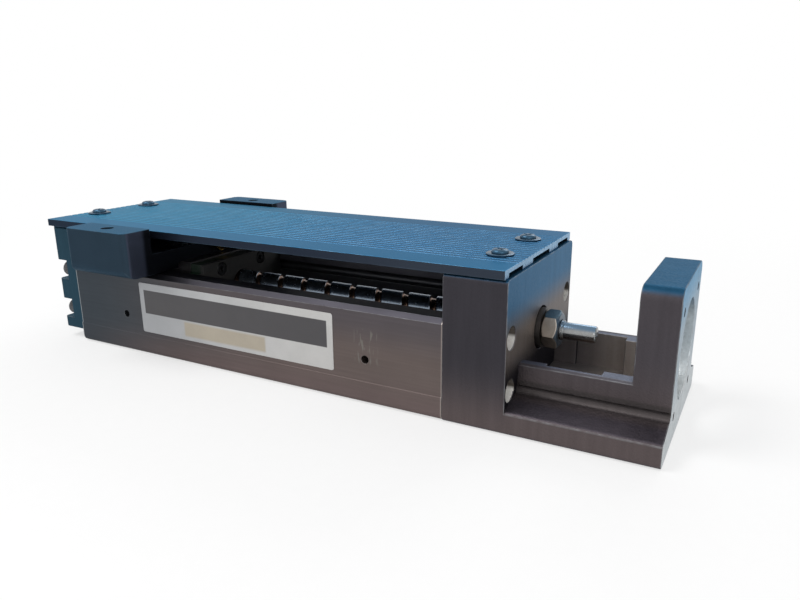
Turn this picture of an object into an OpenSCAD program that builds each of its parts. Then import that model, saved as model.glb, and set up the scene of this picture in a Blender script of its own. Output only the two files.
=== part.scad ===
// Ball screw linear module: a U-shaped guide rail with a screw-driven carriage,
// a motor housing on one end, an end housing on the other and a flat top cover.
// +X runs along the screw towards the motor, +Z is up, the origin is in the middle
// of the module's length, on its centre line, at the level of its mounting face.

/* [Guide rail] */
// Length of the guide rail
rail_l = 150; // [120:5:300]
// Width of the guide rail over its datum faces
rail_w = 60; // [50:1:72]
// Height of the rail's side walls
rail_h = 30; // [25:0.5:36]
// Thickness of the rail's floor
rail_floor_t = 8; // [6.5:0.5:9.5]
// Thickness of the rail's side walls over the datum faces
rail_wall_t = 7.5; // [6.5:0.5:9]
// Lengthwise pitch of the rail's mounting holes and side holes
hole_pitch = 100; // [60:5:120]
// Crosswise pitch of the rail's mounting holes
hole_gauge = 30; // [25:1:34]

/* [Ball screw] */
// Outer diameter of the ball screw
screw_d = 10; // [8.5:0.5:12]
// Lead of the ball screw: carriage travel per turn
lead = 10; // [8:1:12]
// Height of the screw axis above the mounting face
axis_z = 22; // [18.5:0.25:26.5]
// Diameter of the input shaft that takes the coupling
input_d = 5; // [4:0.5:6]
// Length of the input shaft beyond the lock nut's thread
input_l = 9; // [7.5:0.5:12]
// Diameter of the nut's balls
nut_ball_d = 2; // [1.8:0.1:2.4]
// Turns of loaded balls in the nut
nut_turns = 2.5; // [1.5:1:2.5]

/* [Motor housing] */
// Length of the bearing block
block_l = 18.5; // [18:0.5:24]
// Clear length between the bearing block and the motor flange
coupling_gap = 30.5; // [25.5:0.5:40]
// Thickness of the motor flange
flange_t = 10; // [8.5:0.5:14]
// Width of the motor flange
flange_w = 40; // [38:1:48]
// Diameter of the motor's pilot bore
pilot_d = 28; // [24:1:32]
// Pitch circle of the motor's bolts
motor_pcd = 40; // [38:1:46]
// Height of the coupling trough's side walls
trough_h = 17; // [14:0.5:20]

/* [End housing] */
// Length of the end housing
end_l = 11; // [9.5:0.5:14]

/* [Cover] */
// Gap between the table's plate and the underside of the cover
cover_gap = 5; // [4:0.5:8]
// Thickness of the cover over its edge lips
cover_t = 2.5; // [2.1:0.1:3]
// Thickness of the cover between its lips and pads
cover_web_t = 1.3; // [1.1:0.1:1.6]
// Number of decorative grooves along the cover
cover_grooves = 17; // [9:2:17]

/* [Carriage] */
// Length of the carriage over its end seals
carriage_l = 49; // [41:0.5:59]
// Length of the carriage's top table
table_l = 28.5; // [27:0.5:38]
// Width of each of the table's two ears
ear_w = 11; // [9.5:0.5:14]
// Height of the ears' mounting faces over the top of the cover
ear_rise = 1; // [0.5:0.5:6]
// Gap between the carriage and the rear damper at rest
rest_gap = 2.5; // [1:0.5:40]

/* [Name plate] */
// Length of the blank name plate
plate_l = 81; // [40:1:85]
// Bare strip of rail wall above the blank name plate
plate_margin = 1.9; // [1:0.1:6]

/* [Hidden] */
$fn = 48;

// Clearances between pieces that fit together
fit_clear = 0.02;
thread_clear = 0.05;
ball_clear = 0.06;
running_gap = 0.4;
eps = 1;

// Stations along the module
cover_overhang = 0.5;
module_l = cover_overhang + end_l + rail_l + block_l + coupling_gap + flange_t;
rail_x0 = -module_l / 2 + cover_overhang + end_l;
rail_x1 = rail_x0 + rail_l;
end_x0 = rail_x0 - end_l;
block_x1 = rail_x1 + block_l;
flange_x0 = block_x1 + coupling_gap;
flange_x1 = flange_x0 + flange_t;
cover_x0 = end_x0 - cover_overhang;
cover_x1 = block_x1 - 1;

// Rail section
rail_bevel = 1.5;
rail_corner_r = 2;
datum_band_h = 7;
datum_step = 0.3;
rail_wall_y = rail_w / 2 - datum_step;
channel_w = rail_w - 2 * rail_wall_t;
channel_y = channel_w / 2;
floor_fillet_r = 0.8;
side_hole_z = 14;
side_hole_depth = 4.5;
tap_d = 2.5;
tap_depth = 12;
m3_d = 3;
m3_clear_d = 3.4;
m3_head_d = 5.5;
m3_head_h = 3;
m3_recess_d = 6.5;
m3_socket_d = 2.9;
mount_hole_d = 5.5;
mount_recess_d = 9.5;
mount_seat_z = 2.6;
end_bolt_y = rail_w / 2 - rail_wall_t / 2 - 0.25;
end_bolt_z = [11.5, rail_h - 3.5];
end_bolt_l = 8;

// Name plate
plate_x0 = rail_x0 + 33;
plate_z0 = datum_band_h + 1.6;
plate_z1 = rail_h - rail_bevel - plate_margin;
plate_t = 0.2;

// Track balls: two rows on each side of the carriage
track_ball_d = 3.175;
track_z = [rail_floor_t + 6.5, rail_h - 5.5];
track_y = channel_y - running_gap / 2;
track_row_gap = 4.8;
track_return_y = track_y - track_row_gap;
track_groove_d = track_ball_d + 2 * ball_clear;

// Screw and nut
screw_r = screw_d / 2;
nut_ball_r = nut_ball_d / 2;
ball_path_r = screw_r + 0.15;
screw_groove_r = nut_ball_r + 0.12;
helix_angle = atan(lead / (2 * PI * ball_path_r));
thread_x0 = rail_x0 + 3;
thread_x1 = rail_x1 - 4;
journal_d = 8;
end_journal_d = 6;
nut_thread_d = 6;
shoulder_d = max(screw_d - 0.8, journal_d + 1.2);
slices_per_turn = 12;
groove_steps = 3;
land_steps = 9;

// Bearings
front_ring = [journal_d, 19, 6, 3, 9];
end_ring = [end_journal_d, 15, 5, 2.4, 8];
front_bearing_x0 = rail_x1;
front_bearing_x1 = front_bearing_x0 + 2 * front_ring[2];
end_bearing_x1 = rail_x0 - 1;
end_bearing_x0 = end_bearing_x1 - end_ring[2];
retaining_t = 0.6;
retaining_gap = 0.1;
retaining_d = 9;
retaining_groove_d = 5.4;
retaining_x1 = end_bearing_x0 - retaining_gap;
retaining_x0 = retaining_x1 - retaining_t - 0.1;
screw_tip_x = retaining_x0 - 1.2;
end_pocket_x = screw_tip_x - 0.5;
collar_d = 12;
collar_x1 = block_x1 + 1.2;
nut_af = 10;
nut_t = 4.8;
nut_tilt = -20;
lock_nut_x1 = collar_x1 + nut_t;
nut_thread_x1 = lock_nut_x1 + 1.4;
input_x1 = nut_thread_x1 + input_l;

// Retainer and dampers
retainer_t = 2.5;
retainer_w = channel_w - 11;
retainer_z = [rail_floor_t + 2, axis_z + 12];
retainer_hole_y = retainer_w / 2 - 4;
retainer_hole_z = [retainer_z[0] + 3.5, retainer_z[1] - 3.5];
m25_d = 2.5;
m25_head_d = 4.5;
m25_head_h = 2;
m25_l = 8;
retainer_hole_r = norm([retainer_hole_y, min(axis_z - retainer_hole_z[0], retainer_hole_z[1] - axis_z)]);
damper_r = min(axis_z - rail_floor_t - 1, retainer_hole_r - m25_head_d / 2 - 0.25);
damper_bore_d = max(screw_d + 4, end_ring[1] + 1.5);
damper_t = 2.5;

// Carriage
seal_t = 1.5;
end_plate_t = 4.5;
carriage_x0 = rail_x0 + damper_t + rest_gap;
carriage_x1 = carriage_x0 + carriage_l;
carriage_x = (carriage_x0 + carriage_x1) / 2;
steel_x0 = carriage_x0 + seal_t + end_plate_t;
steel_x1 = carriage_x1 - seal_t - end_plate_t;
block_y = channel_y - running_gap;
block_z0 = rail_floor_t + 1.5;
tube_d = nut_ball_d + 1;
clamp_t = 1;
block_z1 = max(axis_z + ball_path_r + 4.35 + tube_d / 2, rail_h + 3);
block_waist_y = block_y - 2.6;
block_waist_z = rail_h - 1.5;
nut_bore_d = screw_d + 2 * running_gap;
plate_bore_d = screw_d + 1;
seal_bore_d = screw_d + 0.5;
nut_x0 = carriage_x - nut_turns * lead / 2;
nut_x1 = carriage_x + nut_turns * lead / 2;
plate_screw_y = track_return_y - 7;
plate_screw_z = [rail_floor_t + 5, block_z1 - 3.5];
plate_screw_depth = 4;

// Ball return tube of the nut
tube_bore_d = nut_ball_d + 0.3;
tube_bend_r = 2.6;
// rounded to 0.01, so that the tube's legs, bends and span meet exactly
tube_leg_z = round(100 * (axis_z + sqrt(pow(screw_r, 2) - pow(ball_path_r - tube_d / 2, 2)) + 0.75)) / 100;
tube_top_z = block_z1 - clamp_t - 0.1 - tube_d / 2;
tube_span = round(100 * norm([nut_x1 - nut_x0, 2 * ball_path_r])) / 100;
tube_turn = atan2(2 * ball_path_r, nut_x1 - nut_x0);
tube_pocket_w = tube_d + 0.6;
clamp_l = 12;
clamp_w = 15;
clamp_screw = [3.6, 5.4];
m2_d = 2;

// Table
table_x0 = carriage_x - table_l / 2;
table_x1 = carriage_x + table_l / 2;
table_plate_z = block_z1 + 5;
table_wing_z = rail_h + 1;
table_wing_y = channel_y - 1.5;
ear_in_y = rail_w / 2 + 2;
ear_round_r = 4;
ear_corner_r = 2.5;
table_y = ear_in_y + ear_w;
table_hole_y = ear_in_y + 5;
table_tap_d = 4.2;
table_tap_depth = 9;
table_screw_x = table_l / 2 - 5;
table_screw_y = block_waist_y - 4;
m4_d = 4;
m4_head_d = 7.6;
m4_head_h = 2.2;
table_screw_l = 10;
m4_hole_depth = 6.2;
nipple_z = block_z1 + 2.6;
nipple_d = 3;
grease_bore_d = 1.5;
grease_x = steel_x0 + 4;

// Cover
cover_z0 = table_plate_z + cover_gap;
cover_z1 = cover_z0 + cover_t;
housing_h = cover_z0;
table_h = cover_z1 + ear_rise;
cover_y = rail_w / 2;
cover_lip_w = 3;
cover_pad_w = 8.8;
cover_screw_y = 12;
cover_screw_x = [rail_x0 - end_l / 2, rail_x1 + block_l / 2];
groove_zone_w = 40;
groove_w = 0.7;
groove_depth = 0.35;
washer_d = 8;
washer_t = 0.5;
cover_head_d = 5;
cover_head_h = 1.1;
cover_screw_l = 7;
cover_tap_depth = 8;

// Motor housing
base_edge_z = 7;
base_inner_z = 9.5;
ledge_chamfer = 0.8;
cast_fillet_r = 1.6;
trough_wall_t = 3;
trough_floor_z = 6;
flange_round_r = 3.5;
housing_corner_r = 1.5;
motor_tap_d = 2.5;
rib_x0 = coupling_gap - 8.5;
rib_inset = 3;
corner_pad_l = 7;
corner_pad_inset = 1.5;
bearing_hole_d = collar_d + 1;
bolt_seat_depth = 10;

// End housing
end_y = rail_w / 2 - 1;
end_z0 = 3.4;
notch_w = 7.2;
notch_depth = 5.3;

// ---------- shared shapes ----------

// Cylinder along +X from x0 to x1
module x_rod(d, x0, x1, y = 0, z = axis_z)
    translate([x0, y, z]) rotate([0, 90, 0]) cylinder(d = d, h = x1 - x0);

// Cone along +X from diameter d0 at x0 to diameter d1 at x1
module x_cone(d0, d1, x0, x1, y = 0, z = axis_z)
    translate([x0, y, z]) rotate([0, 90, 0]) cylinder(d1 = d0, d2 = d1, h = x1 - x0);

// Ring along +X
module x_ring(d, bore, x0, x1)
    difference() {
        x_rod(d, x0, x1);
        x_rod(bore, x0 - eps, x1 + eps);
    }

// A section drawn in Y and Z, run along +X from x0 to x1
module x_run(x0, x1)
    translate([x0, 0, 0]) rotate([90, 0, 90]) linear_extrude(height = x1 - x0) children();

// Box given by its two corners
module box(a, b)
    translate(a) cube(b - a);

// Rectangle given by two corners, with all four corners rounded
module round_rect(a, b, r) {
    translate([a[0] + r, a[1]]) square([b[0] - a[0] - 2 * r, b[1] - a[1]]);
    translate([a[0], a[1] + r]) square([b[0] - a[0], b[1] - a[1] - 2 * r]);
    for (x = [a[0] + r, b[0] - r], y = [a[1] + r, b[1] - r])
        translate([x, y]) circle(r = r);
}

// The same thing on the near side (-Y) and on the far side (+Y)
module both_sides()
    for (side = [0, 1]) mirror([0, side, 0]) children();

// Socket head cap screw along X: seat is the plane under the head, dir is +1 or -1
// for the way the shank points
module cap_screw(seat, dir, y, z, d, head_d, head_h, length, socket_d) {
    head_x = seat - dir * head_h;
    difference() {
        union() {
            x_rod(head_d, min(seat, head_x), max(seat, head_x), y, z);
            x_rod(d, min(seat, seat + dir * length), max(seat, seat + dir * length), y, z);
        }
        translate([head_x, y, z]) rotate([0, 90, 0])
            cylinder(d = socket_d, h = head_h * 1.2, center = true, $fn = 6);
    }
}

// Where a rail end bolt sits: run the children at each of the four corners
module at_end_bolts()
    both_sides() for (z = end_bolt_z) translate([0, -end_bolt_y, z]) children();

// ---------- guide rail ----------

module rail_section() {
    y = rail_w / 2;
    r = rail_corner_r;
    difference() {
        union() {
            polygon([
                [-y + r, 0], [y - r, 0], [y, r], [y, datum_band_h],
                [rail_wall_y, datum_band_h + datum_step],
                [rail_wall_y, rail_h - rail_bevel], [rail_wall_y - rail_bevel, rail_h],
                [-rail_wall_y + rail_bevel, rail_h], [-rail_wall_y, rail_h - rail_bevel],
                [-rail_wall_y, datum_band_h + datum_step], [-y, datum_band_h], [-y, r]
            ]);
            for (side = [-1, 1]) translate([side * (y - r), r]) circle(r = r);
        }
        translate([-channel_y, rail_floor_t]) square([channel_w, rail_h]);
        for (side = [-1, 1], z = track_z)
            translate([side * track_y, z]) circle(d = track_groove_d);
        for (side = [-1, 1]) translate([side * channel_y, rail_floor_t]) circle(r = floor_fillet_r);
    }
}

module outer_rail() {
    mid_x = (rail_x0 + rail_x1) / 2;
    color([0.33, 0.31, 0.31]) difference() {
        x_run(rail_x0, rail_x1) rail_section();
        for (sx = [-1, 1], sy = [-1, 1])
            translate([mid_x + sx * hole_pitch / 2, sy * hole_gauge / 2, 0]) {
                translate([0, 0, -eps]) cylinder(d = mount_hole_d, h = rail_floor_t + 2 * eps);
                translate([0, 0, mount_seat_z])
                    cylinder(d = mount_recess_d, h = rail_floor_t - mount_seat_z + eps);
            }
        both_sides() for (sx = [-1, 1])
            translate([mid_x + sx * hole_pitch / 2, -rail_wall_y - eps, side_hole_z])
                rotate([-90, 0, 0]) cylinder(d = tap_d, h = side_hole_depth + eps);
        at_end_bolts() {
            x_rod(m3_d + 2 * thread_clear, rail_x0 - eps, rail_x0 + tap_depth, 0, 0);
            x_rod(m3_d + 2 * thread_clear, rail_x1 - tap_depth, rail_x1 + eps, 0, 0);
        }
    }
}

// Blank name plate on the near wall, above the datum band
module name_plate()
    color([0.78, 0.77, 0.74])
        box([plate_x0, -rail_wall_y - plate_t, plate_z0],
            [plate_x0 + plate_l, -rail_wall_y, plate_z1]);

// ---------- end housing ----------

module end_housing() {
    color([0.19, 0.25, 0.29]) difference() {
        intersection() {
            x_run(end_x0, rail_x0)
                round_rect([-end_y, end_z0], [end_y, housing_h], housing_corner_r);
            linear_extrude(height = housing_h)
                round_rect([end_x0, -end_y], [rail_x0 + 2 * housing_corner_r, end_y],
                    housing_corner_r);
        }
        x_rod(end_ring[1] + 2 * fit_clear, end_bearing_x0, rail_x0 + eps);
        x_rod(retaining_d + 2, end_pocket_x, rail_x0 + eps);
        at_end_bolts() {
            x_rod(m3_clear_d, end_x0 - eps, rail_x0 + eps, 0, 0);
            x_rod(notch_w, end_x0 - eps, end_x0 + notch_depth, 0, 0);
            box([end_x0 - eps, -end_bolt_y, -notch_w / 2], [end_x0 + notch_depth, 0, notch_w / 2]);
        }
        for (y = [-1, 1])
            translate([cover_screw_x[0], y * cover_screw_y, housing_h - cover_tap_depth])
                cylinder(d = m3_d + 2 * thread_clear, h = cover_tap_depth + eps);
    }
}

module end_housing_screws()
    color([0.2, 0.2, 0.21]) at_end_bolts()
        cap_screw(end_x0 + notch_depth, 1, 0, 0, m3_d, m3_head_d, m3_head_h,
            end_l - notch_depth + end_bolt_l, m3_socket_d);

// ---------- motor housing ----------

// Low base and sloping ledges under the coupling
module base_section() {
    y = rail_w / 2;
    r = housing_corner_r;
    c = ledge_chamfer;
    polygon([
        [-y + r, 0], [y - r, 0], [y, r], [y, base_edge_z - c], [y - c, base_edge_z],
        [flange_w / 2, base_inner_z], [-flange_w / 2, base_inner_z],
        [-y + c, base_edge_z], [-y, base_edge_z - c], [-y, r]
    ]);
    for (side = [-1, 1]) translate([side * (y - r), r]) circle(r = r);
}

// Concave fillet of radius r in the corner between the axes, in the quarter of -X and +Y
module fillet_section(r)
    difference() {
        translate([-r, 0]) square([r + 0.1, r]);
        translate([-r, r]) circle(r = r);
    }

// Cast fillets from x0 to x1 at the foot of the outer walls of the trough and the flange
module ledge_fillets(x0, x1) {
    fall = base_inner_z - base_edge_z;
    run = rail_w / 2 - ledge_chamfer - flange_w / 2;
    both_sides() x_run(x0, x1) translate([-flange_w / 2, base_inner_z])
        rotate(atan(fall / run)) fillet_section(cast_fillet_r);
}

// Pocket between the trough walls: wide in the middle, narrower beside the flange
// and in the corners of the bearing block
module trough_pocket() {
    wide = flange_w / 2 - trough_wall_t;
    narrow = wide - rib_inset;
    pad = wide - corner_pad_inset;
    translate([0, 0, trough_floor_z]) linear_extrude(height = housing_h) {
        translate([block_x1, -pad]) square([corner_pad_l + 0.1, 2 * pad]);
        translate([block_x1 + corner_pad_l, -wide]) square([rib_x0 - corner_pad_l, 2 * wide]);
        translate([block_x1 + rib_x0 - 0.1, -narrow])
            square([coupling_gap - rib_x0 + 0.1, 2 * narrow]);
    }
}

module flange_section() {
    y = flange_w / 2;
    r = flange_round_r;
    translate([-y, 0]) square([2 * y, housing_h - r]);
    translate([-y + r, 0]) square([2 * y - 2 * r, housing_h]);
    for (side = [-1, 1]) translate([side * (y - r), housing_h - r]) circle(r = r);
}

// Bearing block, base and coupling trough of the motor side casting
module motor_housing() {
    y = rail_w / 2;
    color([0.27, 0.25, 0.27]) difference() {
        union() {
            x_run(rail_x1, block_x1) round_rect([-y, 0], [y, housing_h], housing_corner_r);
            x_run(block_x1 - 2, flange_x0) base_section();
            ledge_fillets(block_x1 - 1, flange_x0);
            difference() {
                x_run(block_x1 - 1, flange_x0) translate([-flange_w / 2, 0])
                    square([flange_w, trough_h]);
                trough_pocket();
            }
        }
        intersection() {
            trough_pocket();
            box([block_x1, -y, trough_floor_z], [flange_x0 + eps, y, housing_h]);
        }
        box([flange_x0, -y, -eps], [flange_x1, y, housing_h]);
        x_rod(front_ring[1] + 2 * fit_clear, rail_x1 - eps, front_bearing_x1);
        x_rod(bearing_hole_d, rail_x1, block_x1 + eps);
        at_end_bolts() {
            x_rod(m3_clear_d, rail_x1 - eps, block_x1 + eps, 0, 0);
            x_rod(m3_recess_d, block_x1 - bolt_seat_depth, block_x1 + eps, 0, 0);
        }
        at_retainer_holes()
            x_rod(m25_d + 2 * thread_clear, rail_x1 - eps, rail_x1 + m25_l - retainer_t + 1, 0, 0);
        for (side = [-1, 1])
            translate([cover_screw_x[1], side * cover_screw_y, housing_h - cover_tap_depth])
                cylinder(d = m3_d + 2 * thread_clear, h = cover_tap_depth + eps);
    }
}

// Motor flange of the same casting. It meets the rest face to face, and is a node of its own
// so that the collision pieces round its bore keep clear of the trough.
module motor_flange()
    color([0.27, 0.25, 0.27]) difference() {
        union() {
            x_run(flange_x0, flange_x1) {
                base_section();
                flange_section();
            }
            ledge_fillets(flange_x0, flange_x1);
        }
        x_rod(pilot_d, flange_x0 - eps, flange_x1 + eps);
        for (a = [45:90:315])
            translate([0, motor_pcd / 2 * cos(a), motor_pcd / 2 * sin(a)])
                x_rod(motor_tap_d, flange_x0 - eps, flange_x1 + eps);
    }

module motor_housing_screws()
    color([0.75, 0.75, 0.74]) at_end_bolts()
        cap_screw(block_x1 - bolt_seat_depth, -1, 0, 0, m3_d, m3_head_d, m3_head_h,
            block_l - bolt_seat_depth + end_bolt_l, m3_socket_d);

module at_retainer_holes()
    both_sides() for (z = retainer_hole_z) translate([0, -retainer_hole_y, z]) children();

module bearing_retainer()
    color([0.62, 0.63, 0.65]) difference() {
        x_run(rail_x1 - retainer_t, rail_x1)
            round_rect([-retainer_w / 2, retainer_z[0]], [retainer_w / 2, retainer_z[1]], 3);
        x_rod(bearing_hole_d, rail_x1 - retainer_t - eps, rail_x1 + eps);
        at_retainer_holes() x_rod(m25_d + 0.3, rail_x1 - retainer_t - eps, rail_x1 + eps, 0, 0);
    }

module retainer_screws()
    color([0.2, 0.2, 0.21]) at_retainer_holes()
        cap_screw(rail_x1 - retainer_t, 1, 0, 0, m25_d, m25_head_d, m25_head_h, m25_l, 2.2);

// ---------- bearings ----------
// A bearing is [bore, outer diameter, width, ball diameter, number of balls]

function pitch_r(b) = (b[0] + b[1]) / 4;

// One ring of a bearing, centred on x: r0 and r1 are its inner and outer radius
module race_ring(b, x, r0, r1)
    translate([x, 0, axis_z]) rotate([0, 90, 0]) rotate_extrude() difference() {
        translate([r0, fit_clear - b[2] / 2]) square([r1 - r0, b[2] - 2 * fit_clear]);
        translate([pitch_r(b), 0]) circle(d = b[3] + 2 * ball_clear);
    }

module outer_race(b, x) race_ring(b, x, pitch_r(b) + b[3] * 0.3, b[1] / 2);

module inner_race(b, x) race_ring(b, x, b[0] / 2 + fit_clear, pitch_r(b) - b[3] * 0.3);

module ball_set(b, x)
    for (i = [0:b[4] - 1])
        translate([x, pitch_r(b) * cos(360 * i / b[4]), axis_z + pitch_r(b) * sin(360 * i / b[4])])
            sphere(d = b[3]);

front_bearing_x = [front_bearing_x0 + front_ring[2] / 2, front_bearing_x1 - front_ring[2] / 2];
end_bearing_x = (end_bearing_x0 + end_bearing_x1) / 2;

module front_bearing_outer_rings()
    color([0.8, 0.81, 0.83]) for (x = front_bearing_x) outer_race(front_ring, x);

module front_bearing_inner_rings()
    color([0.8, 0.81, 0.83]) for (x = front_bearing_x) inner_race(front_ring, x);

module front_bearing_balls()
    color([0.88, 0.89, 0.9]) for (x = front_bearing_x) ball_set(front_ring, x);

module end_bearing_outer_ring() color([0.8, 0.81, 0.83]) outer_race(end_ring, end_bearing_x);

module end_bearing_inner_ring() color([0.8, 0.81, 0.83]) inner_race(end_ring, end_bearing_x);

module end_bearing_balls() color([0.88, 0.89, 0.9]) ball_set(end_ring, end_bearing_x);

// ---------- screw ----------

// Angle of the thread groove about the screw axis, from +Y towards +Z, at station x
function groove_angle(x) = 180 + 360 * (x - nut_x0) / lead;

// Point on the centre line of the groove at station x
function groove_point(x) =
    [x, ball_path_r * cos(groove_angle(x)), axis_z + ball_path_r * sin(groove_angle(x))];

// Radius of the screw's cross section at angle a away from the middle of the groove
groove_half_angle = sqrt(pow(screw_groove_r, 2) - pow(ball_path_r - screw_r, 2))
    / (ball_path_r * sin(helix_angle)) * 180 / PI;
function groove_offset(a) = a * PI / 180 * ball_path_r * sin(helix_angle);
function section_r(a) = abs(a) >= groove_half_angle ? screw_r
    : ball_path_r - sqrt(max(0, pow(screw_groove_r, 2) - pow(groove_offset(a), 2)));

section_angles = concat(
    [for (k = [-groove_steps:groove_steps]) groove_half_angle * k / groove_steps],
    [for (k = [1:land_steps - 1])
        groove_half_angle + (360 - 2 * groove_half_angle) * k / land_steps]
);

// Threaded length of the screw: one helical groove wound right-handed at the lead
module screw_thread() {
    length = thread_x1 - thread_x0;
    translate([thread_x0, 0, axis_z]) rotate([0, 90, 0]) rotate([0, 0, 90 + groove_angle(thread_x0)])
        linear_extrude(height = length, twist = -360 * length / lead,
            slices = round(length / lead * slices_per_turn), segments = 1, $fn = 0)
            polygon([for (a = section_angles) section_r(a) * [cos(a), sin(a)]]);
}

module ball_screw()
    color([0.62, 0.6, 0.57]) {
        difference() {
            union() {
                x_rod(end_journal_d, screw_tip_x + 0.4, end_bearing_x1);
                x_cone(end_journal_d - 0.8, end_journal_d, screw_tip_x, screw_tip_x + 0.4);
                x_rod(end_journal_d + 1.5, end_bearing_x1, rail_x0 + 1);
                x_rod(shoulder_d, rail_x0 + 1, thread_x0);
                x_rod(shoulder_d, thread_x1, rail_x1);
                x_rod(journal_d, rail_x1, collar_x1 - 0.3);
                x_rod(nut_thread_d, collar_x1 - 0.3, nut_thread_x1 - 0.5);
                x_cone(nut_thread_d, input_d, nut_thread_x1 - 0.5, nut_thread_x1);
                x_rod(input_d, nut_thread_x1, input_x1 - 0.5);
                x_cone(input_d, input_d - 1, input_x1 - 0.5, input_x1);
            }
            x_ring(end_journal_d + 2, retaining_groove_d, retaining_x0, retaining_x1);
        }
        screw_thread();
    }

module end_retaining_ring() {
    x1 = retaining_x1 - 0.05;
    color([0.45, 0.45, 0.47]) difference() {
        x_ring(retaining_d, retaining_groove_d + 2 * fit_clear, x1 - retaining_t, x1);
        box([x1 - 2 * retaining_t, -1.4, axis_z + 1], [x1 + eps, 1.4, axis_z + retaining_d]);
    }
}

module bearing_collar()
    color([0.3, 0.29, 0.29])
        x_ring(collar_d, journal_d + 2 * fit_clear, front_bearing_x1, collar_x1);

module lock_nut()
    color([0.6, 0.56, 0.5]) difference() {
        intersection() {
            translate([collar_x1, 0, axis_z]) rotate([0, 90, 0]) rotate([0, 0, nut_tilt])
                cylinder(d = nut_af / cos(30), h = nut_t, $fn = 6);
            union() {
                x_cone(nut_af - 0.6, nut_af / cos(30) + 0.4, collar_x1, collar_x1 + 1.1);
                x_rod(nut_af / cos(30) + 0.4, collar_x1 + 1.1, lock_nut_x1 - 1.1);
                x_cone(nut_af / cos(30) + 0.4, nut_af - 0.6, lock_nut_x1 - 1.1, lock_nut_x1);
            }
        }
        x_rod(nut_thread_d + 2 * thread_clear, collar_x1 - eps, lock_nut_x1 + eps);
    }

// ---------- dampers ----------

module rear_damper()
    color([0.1, 0.1, 0.1]) x_ring(2 * damper_r, damper_bore_d, rail_x0, rail_x0 + damper_t);

module front_damper() {
    x1 = rail_x1 - retainer_t;
    color([0.1, 0.1, 0.1]) x_ring(2 * damper_r, damper_bore_d, x1 - damper_t, x1);
}

// ---------- cover ----------

module cover_section() {
    y = cover_y;
    pad = [cover_screw_y - cover_pad_w / 2, cover_screw_y + cover_pad_w / 2];
    difference() {
        union() {
            translate([-y, cover_z1 - cover_web_t]) square([2 * y, cover_web_t]);
            for (side = [0, 1]) mirror([side, 0]) {
                translate([y - cover_lip_w, cover_z0]) square([cover_lip_w, cover_t]);
                translate([pad[0], cover_z0]) square([cover_pad_w, cover_t]);
            }
        }
        for (i = [0:cover_grooves - 1]) {
            mid = -groove_zone_w / 2 + groove_zone_w * i / (cover_grooves - 1);
            polygon([[mid - groove_w / 2, cover_z1 + 0.01], [mid, cover_z1 - groove_depth],
                [mid + groove_w / 2, cover_z1 + 0.01]]);
        }
    }
}

module at_cover_screws()
    for (x = cover_screw_x, side = [-1, 1]) translate([x, side * cover_screw_y, cover_z1]) children();

module top_cover()
    color([0.3, 0.49, 0.62]) difference() {
        x_run(cover_x0, cover_x1) cover_section();
        at_cover_screws() translate([0, 0, -cover_t - eps])
            cylinder(d = m3_clear_d, h = cover_t + 2 * eps);
    }

module cover_washers()
    color([0.25, 0.33, 0.4]) at_cover_screws() difference() {
        cylinder(d = washer_d, h = washer_t);
        translate([0, 0, -eps]) cylinder(d = m3_clear_d, h = washer_t + 2 * eps);
    }

// Pan head screws with a crossed recess
module cover_screws()
    color([0.4, 0.4, 0.38]) at_cover_screws() difference() {
        union() {
            translate([0, 0, washer_t]) cylinder(d = cover_head_d, h = cover_head_h * 0.5);
            translate([0, 0, washer_t + cover_head_h * 0.5])
                cylinder(d1 = cover_head_d, d2 = cover_head_d * 0.6, h = cover_head_h * 0.5);
            translate([0, 0, washer_t - cover_screw_l]) cylinder(d = m3_d, h = cover_screw_l);
        }
        translate([0, 0, washer_t + cover_head_h]) for (a = [0, 90]) rotate([0, 0, a])
            cube([2.6, 0.6, 1.4], center = true);
    }

// ---------- carriage ----------

module block_section() {
    polygon([
        [-block_y + 1, block_z0], [block_y - 1, block_z0], [block_y, block_z0 + 1],
        [block_y, block_waist_z], [block_waist_y, block_waist_z + 1.2],
        [block_waist_y, block_z1], [-block_waist_y, block_z1],
        [-block_waist_y, block_waist_z + 1.2], [-block_y, block_waist_z],
        [-block_y, block_z0 + 1]
    ]);
}

// The cross section of the carriage without its ball rows, for end plates and seals
module end_section(inset) {
    polygon([
        [-block_y + inset, block_z0 + inset], [block_y - inset, block_z0 + inset],
        [block_y - inset, block_waist_z], [block_waist_y - inset, block_waist_z + 1.2],
        [block_waist_y - inset, block_z1 - 0.5], [-block_waist_y + inset, block_z1 - 0.5],
        [-block_waist_y + inset, block_waist_z + 1.2], [-block_y + inset, block_waist_z]
    ]);
}

// Places along the loaded helix of the nut
nut_ball_pitch = nut_ball_d + 0.28;
helix_step = nut_ball_pitch * sin(helix_angle);
nut_ball_count = floor((nut_x1 - nut_x0) / helix_step);
nut_ball_x = [for (i = [0:nut_ball_count]) nut_x0 + (nut_x1 - nut_x0) * i / nut_ball_count];

// Run the children in the frame of the return tube: +X runs along the tube from the
// foot of its near leg to the foot of its far leg
module in_tube_frame()
    translate([nut_x0, -ball_path_r, 0]) rotate([0, 0, tube_turn]) children();

// Centre line of the return tube swept with a disc of diameter d
module tube_solid(d) {
    in_tube_frame() {
        for (x = [0, tube_span])
            translate([x, 0, tube_leg_z]) cylinder(d = d, h = tube_top_z - tube_bend_r - tube_leg_z);
        translate([tube_bend_r, 0, tube_top_z]) rotate([0, 90, 0])
            cylinder(d = d, h = tube_span - 2 * tube_bend_r);
        translate([tube_bend_r, 0, tube_top_z - tube_bend_r]) rotate([90, 0, 0])
            rotate([0, 0, 90]) rotate_extrude(angle = 90) translate([tube_bend_r, 0]) circle(d = d);
        translate([tube_span - tube_bend_r, 0, tube_top_z - tube_bend_r]) rotate([90, 0, 0])
            rotate_extrude(angle = 90) translate([tube_bend_r, 0]) circle(d = d);
    }
}

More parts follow.
